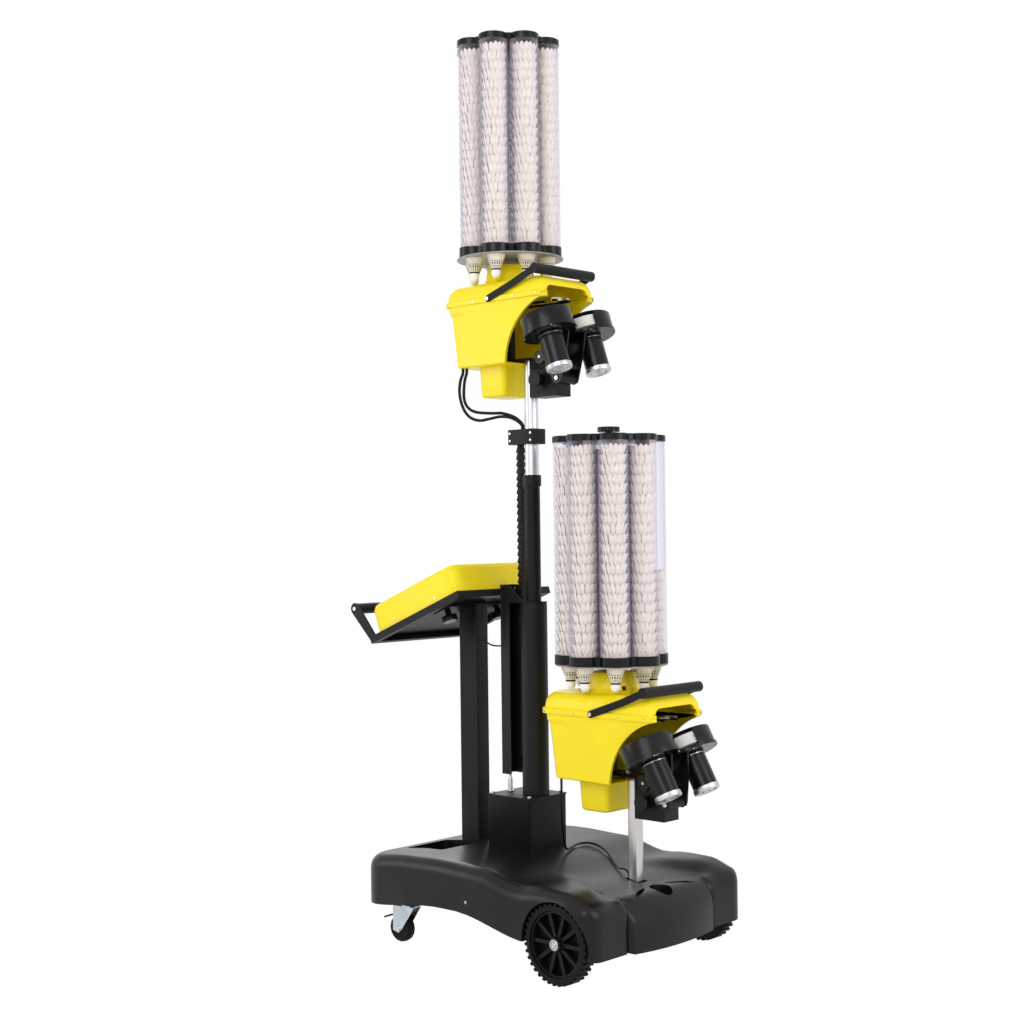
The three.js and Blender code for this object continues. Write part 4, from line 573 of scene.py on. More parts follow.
MIDDLE = line([(-0.66, 0.92), (-0.3, 0.985), (-0.2, 1), (0.19, 1), (0.6, 0.845), (0.88, 0.79), (1, 0.72)])
FENDER = line([(-0.66, 0.92), (-0.3, 0.985), (-0.1, 1), (0.2, 0.985), (0.48, 0.88), (0.62, 0.905),
               (0.76, 0.9), (0.95, 0.8)])
RIM = line([(-0.6, 0.41), (-0.05, 0.52), (0.05, 0.52), (0.55, 0.36), (0.86, 0.3), (1, 0.27)])
ROW_SHARES = (0, 0.06, 0.12, 0.18, 0.24, 0.3, 0.35, 0.4, 0.44, 0.48, 0.51, 0.535, 0.56, 0.585, 0.61, 0.65,
              0.7, 0.75, 0.8, 0.84, 0.87, 0.895, 0.915, 0.932, 0.948, 0.962, 0.974, 0.984, 0.992, 0.997, 1)
COLUMN_SHARES = (0, 0.004, 0.012, 0.022, 0.034, 0.048, 0.065, 0.09, 0.13, 0.18, 0.24, 0.3, 0.36, 0.42, 0.48,
                 0.54, 0.6, 0.65, 0.69, 0.73, 0.77, 0.81, 0.84, 0.87, 0.9, 0.92, 0.936, 0.95, 0.962, 0.973,
                 0.983, 0.991, 0.997, 1)


def eased(t):
    return t * t * (3 - 2 * t)


def along(stations, x):
    """The height of a line at x, eased from station to station."""
    if x <= stations[0][0]:
        return stations[0][1]
    for (x0, z0), (x1, z1) in zip(stations, stations[1:]):
        if x <= x1:
            return z0 + (z1 - z0) * eased((x - x0) / (x1 - x0))
    return stations[-1][1]


def corner_reach(y, radius):
    """How far a round corner's edge lies behind the straight edge, at a distance y from the middle."""
    over = abs(y) - (HALF_W - radius)
    return 0 if over <= 0 else radius - sqrt(max(0, radius ** 2 - over ** 2))


def rear_edge(y):
    return REAR_X + corner_reach(y, REAR_CORNER)


def front_edge(y):
    if abs(y) <= NOSE_HALF:
        return HALF_L - NOSE_CROWN * (abs(y) / NOSE_HALF) ** 2
    if abs(y) <= NOSE_HALF + GROOVE_WIDTH:
        return FENDER_FRONT - GROOVE
    return FENDER_FRONT - corner_reach(y, FRONT_CORNER)


def deck_at(x, y):
    narrow, wide = FENDER_INNER
    inner = narrow + (wide - narrow) * (x - FENDER_FROM) / (FENDER_TO - FENDER_FROM)
    side = eased(min(1, max(0, (abs(y) - inner + FENDER_BLEND / 2) / FENDER_BLEND)))
    return along(MIDDLE, x) * (1 - side) + along(FENDER, x) * side


def fillet_drop(radius, distance):
    return 0 if distance >= radius else radius - sqrt(radius ** 2 - (radius - max(0, distance)) ** 2)


def cover_top(x, y):
    dx, dy = REAR_X + REAR_CORNER - x, abs(y) - (HALF_W - REAR_CORNER)
    side = REAR_CORNER - (hypot(dx, dy) if dx > 0 and dy > 0 else max(dx, dy))
    front = NOSE_FILLET if abs(y) <= NOSE_HALF else FENDER_FILLET
    return deck_at(x, y) - max(fillet_drop(SIDE_FILLET, side), fillet_drop(front, front_edge(y) - x))


def cover_form(inset, drop):
    """The cover's solid form, or with an inset the space inside it, from a grid of its top and its rim."""
    ys = [s * HALF_W for s in [-r for r in ROW_SHARES[:0:-1]] + list(ROW_SHARES)]
    top, low = [], []
    for y in ys:
        rear, front = rear_edge(y), front_edge(y)
        for share in COLUMN_SHARES:
            x = rear + (front - rear) * share
            xi, yi = rear + inset + (front - rear - 2 * inset) * share, y * (HALF_W - inset) / HALF_W
            top.append((xi, yi, cover_top(x, y) - (inset + TOP_EXTRA if inset else 0)))
            low.append((xi, yi, along(RIM, x) - drop))
    rows, columns = len(ys), len(COLUMN_SHARES)
    under = rows * columns
    faces = []
    for j in range(rows - 1):
        for i in range(columns - 1):
            a = j * columns + i
            square = (a, a + 1, a + columns + 1, a + columns)
            faces += [square, tuple(k + under for k in (a, a + columns, a + columns + 1, a + 1))]
    border = list(range(columns)) + [j * columns + columns - 1 for j in range(1, rows)]
    border += [(rows - 1) * columns + i for i in range(columns - 2, -1, -1)]
    border += [j * columns for j in range(rows - 2, 0, -1)]
    faces += [(a, b, b + under, a + under) for a, b in zip(border, border[1:] + border[:1])]
    bm = bmesh.new()
    add(bm, top + low, faces)
    return bm


def mirrored(side, inner, outer):
    """A range of Y on one side of the middle."""
    return (inner, outer) if side > 0 else (-outer, -inner)


def scoop(side, grow):
    half, wide, steps = SCOOP_HALF + grow, SCOOP_WIDE + grow, 16
    arc = [(-half + 2 * half * k / steps, -4 * wide * (k / steps) * (1 - k / steps)) for k in range(steps)]
    floor_z = cover_top(SCOOP_X, SCOOP_Y) - SCOOP_DEPTH - grow
    return prism(arc + [(-a, -b) for a, b in arc], floor_z, DECK + CLEAR, "z",
                 turned(SCOOP_X, side * SCOOP_Y, 0, rz=side * SCOOP_TURN))


def pocket(side, grow):
    y0, y1 = mirrored(side, POCKET_INNER - grow, POCKET_OUTER + grow)
    outline = rounded(POCKET_REAR - grow, POCKET_FRONT + grow, y0, y1, POCKET_CORNER + grow)
    return prism(outline, DECK - POCKET_DEPTH - grow, DECK + CLEAR)


def bowls(grow):
    """The cup, pockets, scoops and wheel wells, or with a growth the walls round them."""
    cup_floor = cover_top(CUP_X, 0) - CUP_DEPTH - grow
    out = [rod(CUP_RADIUS + grow, cup_floor, DECK + CLEAR, turned(CUP_X), 72)]
    for side in (1, -1):
        y0, y1 = mirrored(side, WELL_INNER - grow, HALF_W + CLEAR)
        out += [pocket(side, grow), scoop(side, grow), cross(AXLE_X, AXLE_Z, WELL_RADIUS + grow, y0, y1, 120)]
    return out


def cover():
    hollow = cut(cover_form(COVER_WALL, CLEAR), *bowls(COVER_WALL))
    slot = block(AXLE_X - AXLE_SLOT_HALF, AXLE_X + AXLE_SLOT_HALF, -HALF_W, HALF_W, 0, AXLE_SLOT_TOP)
    holes = [block(x - half_x, x + half_x, -half_y, half_y, POST_HOLE_LOW, DECK + CLEAR)
             for x, half_x, half_y in POST_HOLES]
    bm = tidied(cut(cover_form(0, 0), hollow, *bowls(0), slot, *holes))
    place("cart_cover", shifted(bm, turned(SHIFT)), "cart", "cart_plastic", node="base_cover", smooth=40,
          bevel=2.2, segments=3, bevel_angle=42)


cover()

# Yellow housings of the heads, from the head's own origin on its post
BODY_HEIGHT, BODY_WALL, BODY_LIFT = 180.0, 8, 3
TUB_REAR, TUB_HALF, TUB_FLARE, TUB_SIDE_FLARE, TUB_EDGE = 208, 107, 24, 2, 5
LID_FRONT, REAR_CORNER_R, FRONT_CORNER_R = 141.0, 38, 14
WINDOW_HALF, WINDOW_LOW, WINDOW_TOP, WINDOW_CORNER, WINDOW_DEPTH = 84, 112, 203, 22, 28
SUMP_REAR, SUMP_FRONT, SUMP_HALF, SUMP_CORNER = -146, -46, 60, 13
SUMP_LEVELS = ((10.5, -84), (7.5, -83), (5, -80.5), (4, -77.5), (0, 2))  # each level's inset and height
SUMP_HOLLOW = ((9, -80), (4, -60), (4, 6))
HOOD_REAR, HOOD_HALF, HOOD_WALL, HOOD_LIFT = -240, 114, 9, 5
LIP_PROFILE = ((0, 172), (0, 184.5), (1.2, 186.3), (3, 187.2), (5, 187.6))
CROWN_EDGE, CROWN_FOOT, CROWN_IN, CROWN_RISE, CROWN_POWER, CROWN_STEPS = 5, 187.5, 34, 42.5, 2.25, 11
RELIEF_SPAN = 232  # the relief's shares are of this and of the height
RELIEF_STEPS = ((4.2, 7), (2.1, 3.5), (0, 0))  # each level's inset and how far it reaches
NOSE_ARC_X, NOSE_ARC_Z, NOSE_ARC_R = 188, -11, 187
POST_BORE, FEED_BORE, SPINDLE_BORE, FEED_X = 24, 40, 13.4, 36
SPINDLE_X, SPINDLE_TURN = -74.0, -22.5
RELIEF_SHARES = [(-1.15, 1.1), (-1.15, 0.85), (-0.66, 0.85), (-0.61, 0.84), (-0.56, 0.81), (-0.52, 0.77),
                 (-0.49, 0.72), (-0.455, 0.64), (-0.42, 0.56), (-0.375, 0.48), (-0.33, 0.42), (-0.275, 0.38),
                 (-0.22, 0.36), (-0.185, 0.345), (-0.17, 0.33), (-0.165, 0.3), (-0.165, -0.1), (0.8, -0.1),
                 (0.8, 1.1)]


def body_form(inset, low):
    """The lower housing's tub from a height up, with a soft edge round its bottom when that is 0."""
    def at(z, extra=0.0):
        t = z / BODY_HEIGHT
        rear = -(TUB_REAR + TUB_FLARE * t) + inset + extra
        half = TUB_HALF + TUB_SIDE_FLARE * t - inset - extra
        return plate(rear, LID_FRONT - inset - extra, half, REAR_CORNER_R - inset, FRONT_CORNER_R, z)
    if low:
        foot = [at(low), at(low + TUB_EDGE)]
    else:
        turns = [radians(a) for a in (0, 22, 45, 67, 90)]
        foot = [at(TUB_EDGE * (1 - cos(a)), TUB_EDGE * (1 - sin(a))) for a in turns] + [at(TUB_EDGE + 1)]
    return loft(foot + [at(BODY_HEIGHT)])


def front_window():
    outline = rounded(-WINDOW_HALF, WINDOW_HALF, WINDOW_LOW, WINDOW_TOP, WINDOW_CORNER)
    return prism(outline, LID_FRONT - WINDOW_DEPTH, LID_FRONT + CLEAR, "x")


def sump_ring(inset, z):
    return plate(SUMP_REAR + inset, SUMP_FRONT - inset, SUMP_HALF - inset, SUMP_CORNER, SUMP_CORNER, z)


def housing_body():
    outer = body_form(6, 0)
    for inset, reach in RELIEF_STEPS:
        outline = [(a * RELIEF_SPAN - reach, b * BODY_HEIGHT - reach) for a, b in RELIEF_SHARES]
        proud = prism(outline, -RELIEF_SPAN, RELIEF_SPAN, "y")
        outer = join(outer, worked("INTERSECT", body_form(inset, 0), proud))
    inner = body_form(BODY_WALL, 4)
    inner_top = shifted(body_form(BODY_WALL, 4), turned(z=BODY_LIFT))
    sump = loft([sump_ring(*level) for level in SUMP_LEVELS])
    hollow = loft([sump_ring(*level) for level in SUMP_HOLLOW])
    arc = cross(NOSE_ARC_X, NOSE_ARC_Z, NOSE_ARC_R, -RELIEF_SPAN, RELIEF_SPAN, 160)
    post = rod(POST_BORE, -CLEAR, 10)
    return tidied(cut(join(cut(outer, inner, inner_top), sump), hollow, arc, post, front_window()))


def hood_rings(inset, lift=0.0):
    """The hood's lip and its crown, whose section is a superellipse."""
    profile = list(LIP_PROFILE)
    for k in range(1, CROWN_STEPS + 1):
        h = sin(radians(90 * k / CROWN_STEPS))
        drawn_in = 1 - max(0, 1 - h ** CROWN_POWER) ** (1 / CROWN_POWER)
        profile.append((CROWN_EDGE + CROWN_IN * drawn_in, CROWN_FOOT + CROWN_RISE * h))
    return [plate(side + inset + HOOD_REAR, LID_FRONT - side - inset, HOOD_HALF - side - inset, REAR_CORNER_R,
                  FRONT_CORNER_R, z + lift - (inset if k else 0)) for k, (side, z) in enumerate(profile)]


def housing_lid():
    spindle = turned(SPINDLE_X)
    lip = [plate(-232.3, LID_FRONT + CLEAR, 109.3, REAR_CORNER_R, FRONT_CORNER_R, z) for z in (166, 180.3)]
    under = loft(lip + [plate(-224, LID_FRONT - 4, 101, 30, FRONT_CORNER_R, z) for z in (181.3, 188)])
    shell = cut(loft(hood_rings(0)), loft(hood_rings(HOOD_WALL, HOOD_LIFT)), under)
    tower = lathed([(0, 222), (88, 222), (83, 229.5), (77, 233), (72.5, 238), (69.5, 245), (67.6, 254),
                    (65.2, 264), (62.8, 273), (60.6, 279), (58.6, 281.8), (55.5, 283), (0, 283)], 96, spindle)
    inside = lathed([(0, 200), (62, 200), (62, 246), (56, 279), (0, 279)], 96, spindle)
    shaft = rod(SPINDLE_BORE, 220, 290, spindle, 32)
    feed = rod(FEED_BORE, 160, 240, turned(FEED_X))
    port = block(33, 79, -6.5, 6.5, 236.5, 248.2, turned(SPINDLE_X, rz=SPINDLE_TURN))
    return tidied(cut(join(shell, tower), inside, shaft, feed, front_window(), port))


for head, at in HEADS.items():
    for part, make in (("_housing_body", housing_body), ("_housing_lid", housing_lid)):
        place(head + part + "_shell", shifted(make(), turned(at.x, 0, at.z)), head + "_head", "yellow_shell",
              node=head + part, smooth=38, bevel=1.3, segments=3, bevel_angle=30)

# Plain parts: each keeps its solid's form, with rounded edges and soft shading
EDGES = {"mast_outer_tube": 0.6, "mast_inner_tube": 0.5, "mast_head_tube": 0.5, "console_housing": 3.0,
         "drag_chain": 0.5, "stand_post": 0.6, "control_panel": 0.6, "power_switch": 0.6}
USUAL_EDGE = 0.8
SAME_POINT, FLAT = 2e-6, 0.6  # metres within which points merge, and degrees that count as flat
REMADE = {"carousel", "magazine_tubes", "magazine_lid", "drive_motor_right", "drive_motor_left",
          "flywheel_right", "flywheel_left", "base_cover", "housing_body", "housing_lid", "front_tyre_right",
          "front_tyre_left", "launcher_frame"} | {node for _, node, _, _ in CABLES}


def skin(node, edge):
    bm = bmesh.new()
    bm.from_mesh(NODES[node].data)
    bmesh.ops.remove_doubles(bm, verts=bm.verts, dist=SAME_POINT)
    bmesh.ops.dissolve_limit(bm, angle_limit=radians(FLAT), verts=bm.verts, edges=bm.edges)
    for v in bm.verts:
        v.co /= MM
    place(node + "_skin", bm, BODY[node], SLOT[node], node=node, bevel=edge)


for node in sorted(NODES):
    short = node.split("_", 1)[1] if node.startswith(("upper_", "lower_")) else node
    if node not in REMADE and short not in REMADE:
        skin(node, EDGES.get(node, USUAL_EDGE))

# Shuttlecocks
rng = random.Random(7)
VANES = 16
VANE_ACROSS, VANE_ALONG = 2, 5  # faces across and along one vane
VANE_ROOT_SHARE, VANE_TIP_SHARE = 0.66, 0.62  # width at the root, and where the tip's rounding starts
NEST_PITCH = 25.6  # from one nested shuttle to the next
VANE_SHOWN = 31.0  # length of the vanes that shows in a stack


def feather(r0, r1, z0, z1, width, angle, tilt):
    """One vane on a cone from (r0, z0) to (r1, z1), with a round tip, turned a little to overlap the next."""
    verts, faces = [], []
    for j in range(VANE_ALONG + 1):
        v = 1 - (1 - j / VANE_ALONG) ** 1.5
        w = width * (VANE_ROOT_SHARE + (1 - VANE_ROOT_SHARE) * min(1, v * 1.6))
        if v > VANE_TIP_SHARE:
            w *= sqrt(max(0.03, 1 - ((v - VANE_TIP_SHARE) / 0.385) ** 2))
        for i in range(VANE_ACROSS + 1):
            u = i / VANE_ACROSS * 2 - 1
            r = r0 + (r1 - r0) * v + u * tilt + (1 - u * u) * 0.9
            verts.append((*polar(r, angle + u * w / 2 / max(r, 1)), z0 + (z1 - z0) * v - abs(u) * 1.4 * v))
    for j in range(VANE_ALONG):
        for i in range(VANE_ACROSS):
            k = j * (VANE_ACROSS + 1) + i
            faces.append((k, k + 1, k + VANE_ACROSS + 2, k + VANE_ACROSS + 1))
    return verts, faces


def stacked(bm, core, matrix, z0, z1):
    """The stack of nested shuttles seen through a tube: rows of flared tips over an inside coloured darker,
    as painted shade between the rows.
    """
    rows = max(1, round((z1 - z0 - VANE_SHOWN) / NEST_PITCH))
    pitch = (z1 - z0 - VANE_SHOWN) / rows
    z = z0
    for row in range(rows + 1):
        spin = row * pi / VANES + rng.uniform(-0.06, 0.06)
        for k in range(VANES):
            angle = spin + 2 * pi * k / VANES + rng.uniform(-0.035, 0.035)
            top = z + VANE_SHOWN + rng.uniform(-1.6, 1.6)
            root = 27.2 + rng.uniform(-0.3, 0.3)
            tip = 35.2 + rng.uniform(-1.2, 1.0)
            width = 13.8 + rng.uniform(-0.8, 0.8)
            add(bm, *feather(root, tip, z, top, width, angle, 0.8), matrix)
        z += pitch
    # The core behind the rows takes a darker colour: painted shade at the rows' bottoms
    mouth = z1 - VANE_SHOWN
    lathe(core, [(0, z0 - 4), (26.4, z0 - 4), (26.4, mouth + 2), (30.5, z1 - 5), (28, z1 - 6), (18, mouth),
                 (0, mouth)], 24, matrix)


def quill(angle):
    """One quill's square stem, leaning outwards from the band, as verts and faces."""
    verts = []
    for r, z, w in ((11.8, 26.5, 3.3), (16.8, 39, 3.0), (21.8, 52.0, 2.8)):
        for across, out in ((-1, -0.5), (1, -0.5), (1, 0.8), (-1, 0.8)):
            verts.append((*polar(r + out, angle + across * w / 2 / r), z))
    faces = [(i + j, (i + 1) % 4 + j, (i + 1) % 4 + j + 4, i + j + 4) for j in (0, 4) for i in range(4)]
    return verts, faces + [(0, 1, 2, 3), (11, 10, 9, 8)]


def hanging(vanes, quills, corks, bands, inside, matrix):
    """A whole shuttle, cork down, its parts added to the mesh of each kind, with a dark cone inside its
    quills as painted shade.
    """
    lathe(corks, [(0, 0), (3.6, 0.5), (6.8, 1.9), (9.4, 4.2), (11.4, 7.2), (12.6, 10.6), (13.0, 14),
                  (13.0, 21.4), (0, 21.4)], 32, matrix)
    lathe(bands, [(0, 21.4), (13.2, 21.4), (13.2, 24.4), (12.4, 25.6), (0, 25.6)], 32, matrix)
    lathe(quills, [(0, 25.6), (12.0, 25.6), (11.6, 28.2), (0, 28.2)], 32, matrix)
    # A dark cone inside the quills, no part of the shuttle: painted shade that darkens the gaps between them
    lathe(inside, [(0, 27), (10.4, 27), (13.6, 37), (18.8, 51), (24.5, 64), (0, 64)], 32, matrix)
    for h, r in ((35.0, 15.6), (43.5, 18.8)):
        lathe(quills, [(r - 0.7, h - 1.0), (r + 0.6, h - 1.0), (r + 0.9, h), (r + 0.6, h + 1.0),
                       (r - 0.7, h + 1.0)], 40, matrix, closed=True)
    for k in range(VANES):
        angle = 2 * pi * k / VANES
        add(quills, *quill(angle), matrix)
        add(vanes, *feather(19.6, 33.0, 47.0, 86.0, 12.8, angle, 0.9), matrix)


# Magazines, from the head's own origin
TUBES, TUBE_CIRCLE = 8, 109.0
TUBE_INNER, TUBE_OUTER, TUBE_LOW, TUBE_TOP = 37.5, 40, 325.5, 887.7
LOBE_RADIUS, LOBE_STEPS, LOBE_SPREAD = 41.5, 16, 2.8
RING_Z, RING_TOP, STACK_FOOT, STACK_REACH, HANG_Z = 303.0, 328.0, 309, 575, 236
RING_CUT, RING_BORE, LID_CUT, LID_BORE = (290, 340), 22, (880, 910), 5.3
LID_LOW, LID_TOP, LID_EDGE = 888, 905, 2
ROD_RADIUS, BOSS_RADIUS, ROD_LOW, ROD_TOP = 5, 21, 304, 914
DISC_RADIUS, DISC_LOW, DISC_TOP, HUB_RADIUS, HUB_LOW, DISC_BORE = 149, 299.7, 302.9, 21.7, 283.3, 8.3
FILL_SHARES = {"upper": [1] * TUBES, "lower": [1, 0.43, 1, 1, 1, 1, 1, 1]}
# The last kind is no part of a shuttle but a dark cone of painted shade inside the quills
SHUTTLE_PARTS = (("vanes", "feather"), ("quills", "thread"), ("corks", "cork_white"), ("bands", "band_black"),
                 ("painted_shade_cones", "slot_painted_shade"))


def tube_place(k):
    return turned(rz=360 / TUBES * k) @ turned(TUBE_CIRCLE)


def lobes(radius):
    """The outline round all the tubes: an arc outside each."""
    out = []
    for k in range(TUBES):
        angle = 2 * pi * k / TUBES
        x, y = polar(TUBE_CIRCLE, angle)
        for j in range(LOBE_STEPS + 1):
            dx, dy = polar(radius, angle + LOBE_SPREAD * (j / LOBE_STEPS - 0.5))
            out.append((x + dx, y + dy))
    return out


def ring_form():
    holes = [rod(TUBE_INNER, *RING_CUT, tube_place(k), 48) for k in range(TUBES)]
    return tidied(cut(prism(lobes(LOBE_RADIUS), RING_Z + 0.3, RING_TOP), *holes, rod(RING_BORE, *RING_CUT)))


def lid_form():
    levels = ((LID_LOW, LOBE_RADIUS), (LID_TOP - LID_EDGE, LOBE_RADIUS), (LID_TOP, LOBE_RADIUS - LID_EDGE))
    solid = loft([[(x, y, z) for x, y in lobes(radius)] for z, radius in levels])
    return tidied(cut(solid, rod(LID_BORE, *LID_CUT)))


def magazine(head):
    at = HEADS[head]
    body = head + "_magazine"
    centre = turned(at.x + SPINDLE_X, 0, at.z, rz=at.spin)
    stacks, core, tubes, disc, steel = (bmesh.new() for _ in range(5))
    shuttles = [bmesh.new() for _ in SHUTTLE_PARTS]
    for k in range(TUBES):
        tube = centre @ tube_place(k)
        stacked(stacks, core, tube, STACK_FOOT, RING_Z + FILL_SHARES[head][k] * STACK_REACH)
        hanging(*shuttles, tube @ turned(z=HANG_Z))
        lathe(tubes, [(TUBE_INNER, TUBE_LOW), (TUBE_OUTER, TUBE_LOW), (TUBE_OUTER, TUBE_TOP),
                      (TUBE_INNER, TUBE_TOP)], 64, tube, closed=True)
        lathe(steel, [(37.8, 303.4), (41.2, 303.4), (41.2, 305), (37.8, 305)], 48, tube, closed=True)
    place(head + "_shuttle_stacks", stacks, body, "feather", smooth=60)
    # The stack cores carry painted shade behind the rows
    place(head + "_stack_cores", core, body, "painted_feather_shade", smooth=60)
    for bm, (part, mat) in zip(shuttles, SHUTTLE_PARTS):
        place(head + "_shuttle_" + part, bm, body, mat, smooth=50)
    place(head + "_tubes", tubes, body, "clear_tube", node=head + "_magazine_tubes", smooth=40)
    lathe(disc, [(DISC_BORE, DISC_LOW), (DISC_RADIUS - 0.6, DISC_LOW), (DISC_RADIUS, DISC_LOW + 0.7),
                 (DISC_RADIUS, DISC_TOP - 0.7), (DISC_RADIUS - 0.6, DISC_TOP), (DISC_BORE, DISC_TOP)],
          128, centre, closed=True)
    lathe(disc, [(DISC_BORE, HUB_LOW), (HUB_RADIUS, HUB_LOW), (HUB_RADIUS, DISC_LOW), (DISC_BORE, DISC_LOW)],
          48, centre, closed=True)
    place(head + "_disc", disc, body, "disc_grey", node=head + "_carousel", smooth=30)
    lathe(steel, [(0, ROD_LOW), (ROD_RADIUS, ROD_LOW), (ROD_RADIUS, ROD_TOP), (0, ROD_TOP)], 24, centre)
    lathe(steel, [(0, ROD_LOW), (BOSS_RADIUS, ROD_LOW), (BOSS_RADIUS, RING_TOP - 1),
                  (BOSS_RADIUS - 1, RING_TOP), (0, RING_TOP)], 48, centre)
    place(head + "_rod", steel, body, "steel", smooth=30)
    place(head + "_ring", shifted(ring_form(), centre), body, "gloss_black", smooth=30, bevel=0.8)
    place(head + "_lid", shifted(lid_form(), centre), body, "gloss_black", node=head + "_magazine_lid",
          smooth=30, bevel=0.6)


for head in HEADS:
    magazine(head)

# Launchers, from the pitch pivot, and the screws of the heads
PIVOT_X, PIVOT_Z = 128, -45  # from the head's own origin
WHEEL_X, WHEEL_Y, WHEEL_LOW, WHEEL_HEIGHT = 53, 80, 115, 34
PLATE_LOW, PLATE_TOP, PLATE_RADIUS = 103.0, 111.0, 74
GUARD_TOP, GUARD_RADIUS, GUARD_INNER, GUARD_SKIN = 157.0, 71, 68, 3
CHEEK_INNER, CHEEK_OUTER, PIVOT_RADIUS = 31, 37, 5
BRIDGE_REAR, BRIDGE_FRONT, LANE_REAR, LANE_FRONT, LANE_HALF = 8, 83, -71, 213, 46
LUG_X, LUG_Z, LUG_RADIUS, LUG_OUTER, LUG_INNER = -30, 74, 19, -48, -34
MOTOR_SCREW_CIRCLE, PLATE_SCREW_CIRCLE = 20.5, 70.5
SEAM_Y, SEAM_Z, SEAM_SCREWS = 113.6, 179, (-214, -110, 40, 126)
BAIL_X, BAIL_Y, BAIL_Z = -50, 119, 180


def guard():
    """The base plates, the two wheel guards over them and the cheeks down to the pivot."""
    plates, drums, cuts = [], [], []
    inner_top = GUARD_TOP - GUARD_SKIN
    for side in (-1, 1):
        at = turned(WHEEL_X, side * WHEEL_Y)
        plates.append(rod(PLATE_RADIUS, PLATE_LOW, PLATE_TOP, at, 96))
        drums.append(lathed([(0, 107), (GUARD_RADIUS, 107), (GUARD_RADIUS, inner_top),
                             (70.1, GUARD_TOP - 0.9), (68, GUARD_TOP), (0, GUARD_TOP)], 96, at))
        cuts += [rod(GUARD_INNER, PLATE_TOP, inner_top, at, 96), rod(6.2, 90, 120, at, 24)]
    bridge = block(BRIDGE_REAR, BRIDGE_FRONT, -WHEEL_Y, WHEEL_Y, PLATE_LOW, PLATE_TOP)
    lane = block(LANE_REAR, LANE_FRONT, -LANE_HALF, LANE_HALF, PLATE_TOP, inner_top)
    body = cut(join(plates[0], drums[0], plates[1], drums[1], bridge), *cuts, lane)
    outline = [(-14, -7), (-7, -14), (7, -14), (14, -7), (53, 51.5), (83, 107), (8, 107), (-37, 81),
               (-30, 60)]
    cheeks = [prism(outline, -CHEEK_OUTER, -CHEEK_INNER, "y"), prism(outline, CHEEK_INNER, CHEEK_OUTER, "y")]
    pivot = cross(0, 0, PIVOT_RADIUS, -CHEEK_OUTER, CHEEK_OUTER, 32)
    tilt_lug = cross(LUG_X, LUG_Z, LUG_RADIUS, LUG_OUTER, LUG_INNER, 64)
    return tidied(join(body, *cheeks, pivot, tilt_lug))


def flywheel(head, side, at):
    low, top = WHEEL_LOW, WHEEL_LOW + WHEEL_HEIGHT
    bm = lathed([(8, low + 10), (30, low + 10), (34, low), (60, low), (66.5, low + 3), (63.5, low + 12),
                 (63.5, low + 22), (66.5, low + 31), (60, top), (34, top), (30, low + 20), (8, low + 20)],
                72, at, closed=True)
    name = head + "_flywheel_" + side
    place(head + "_wheel_" + side, bm, name, "wheel_foam", node=name, bevel=0.8)


def motor(head, side, at):
    """A round black can with a bright band and a cast end cap, below its wheel."""
    body = head + "_launcher"
    can = lathed([(0, 102.6), (33.4, 102.6), (34, 102), (34, 99.4), (33.3, 98.8), (33.3, 12), (0, 12)], 72,
                 at)
    place(head + "_motor_can_" + side, can, body, "motor_black", node=head + "_drive_motor_" + side,
          smooth=30)
    cap = lathed([(0, 12.4), (34.6, 12.4), (35.4, 11.4), (35.4, 1.4), (34.4, -0.6), (32.6, -1.3), (27, -1.3),
                  (26, 0.2), (15, 0.2), (13.6, -1.3), (8, -1.3), (7, 0.6), (0, 0.6)], 72, at)
    place(head + "_motor_cap_" + side, cap, body, "cast_silver", smooth=30, bevel=0.5)
    band = lathed([(33.4, 95.4), (34.3, 95.4), (34.3, 97.2), (33.4, 97.2)], 72, at, closed=True)
    place_screws(head + "_motor_band_" + side, band, body)


def launcher(head):
    pivot = turned(HEADS[head].x + PIVOT_X, 0, HEADS[head].z + PIVOT_Z, ry=-HEADS[head].pitch)
    place(head + "_guards", shifted(guard(), pivot), head + "_launcher", "gloss_black",
          head + "_launcher_frame", 32, 0.9)
    bolts = bmesh.new()
    for side, sign in SIDES.items():
        at = pivot @ turned(WHEEL_X, sign * WHEEL_Y)
        flywheel(head, side, at)
        motor(head, side, at)
        for k in range(4):
            spoke = at @ turned(rz=45 + 90 * k)
            screw(bolts, spoke @ turned(MOTOR_SCREW_CIRCLE, 0, 0.2, rx=180), 2.6, 1.6)
            screw(bolts, spoke @ turned(PLATE_SCREW_CIRCLE, 0, PLATE_LOW, rx=180), 2.4, 1.8)
    for sign in (-1, 1):
        screw(bolts, pivot @ facing_out(0, sign, CHEEK_OUTER, 0), 6, 3.5)
    screw(bolts, pivot @ turned(LUG_X, LUG_OUTER, LUG_Z, rx=90), 4, 2.5)
    place_screws(head + "_launcher_screws", bolts, head + "_launcher")


def head_screws(head):
    x, z = HEADS[head].x, HEADS[head].z
    seam, pins = bmesh.new(), bmesh.new()
    for sign in (-1, 1):
        for along_x in SEAM_SCREWS:
            screw(seam, facing_out(x + along_x, sign, SEAM_Y, z + SEAM_Z), 3, 1.6)
        screw(pins, facing_out(x + BAIL_X, sign, BAIL_Y, z + BAIL_Z), 5.5, 3)
    place_screws(head + "_housing_screws", seam, head + "_head")
    place_screws(head + "_bail_screws", pins, head + "_bail")


for head in HEADS:
    launcher(head)
    head_screws(head)

# Front wheels: tyres with two rows of leaning ribs, hub rings and the axle's ends
TYRE_Y, HUB_Y = 296, 316
RIBS, RIB_LEAN = 36, 2.2


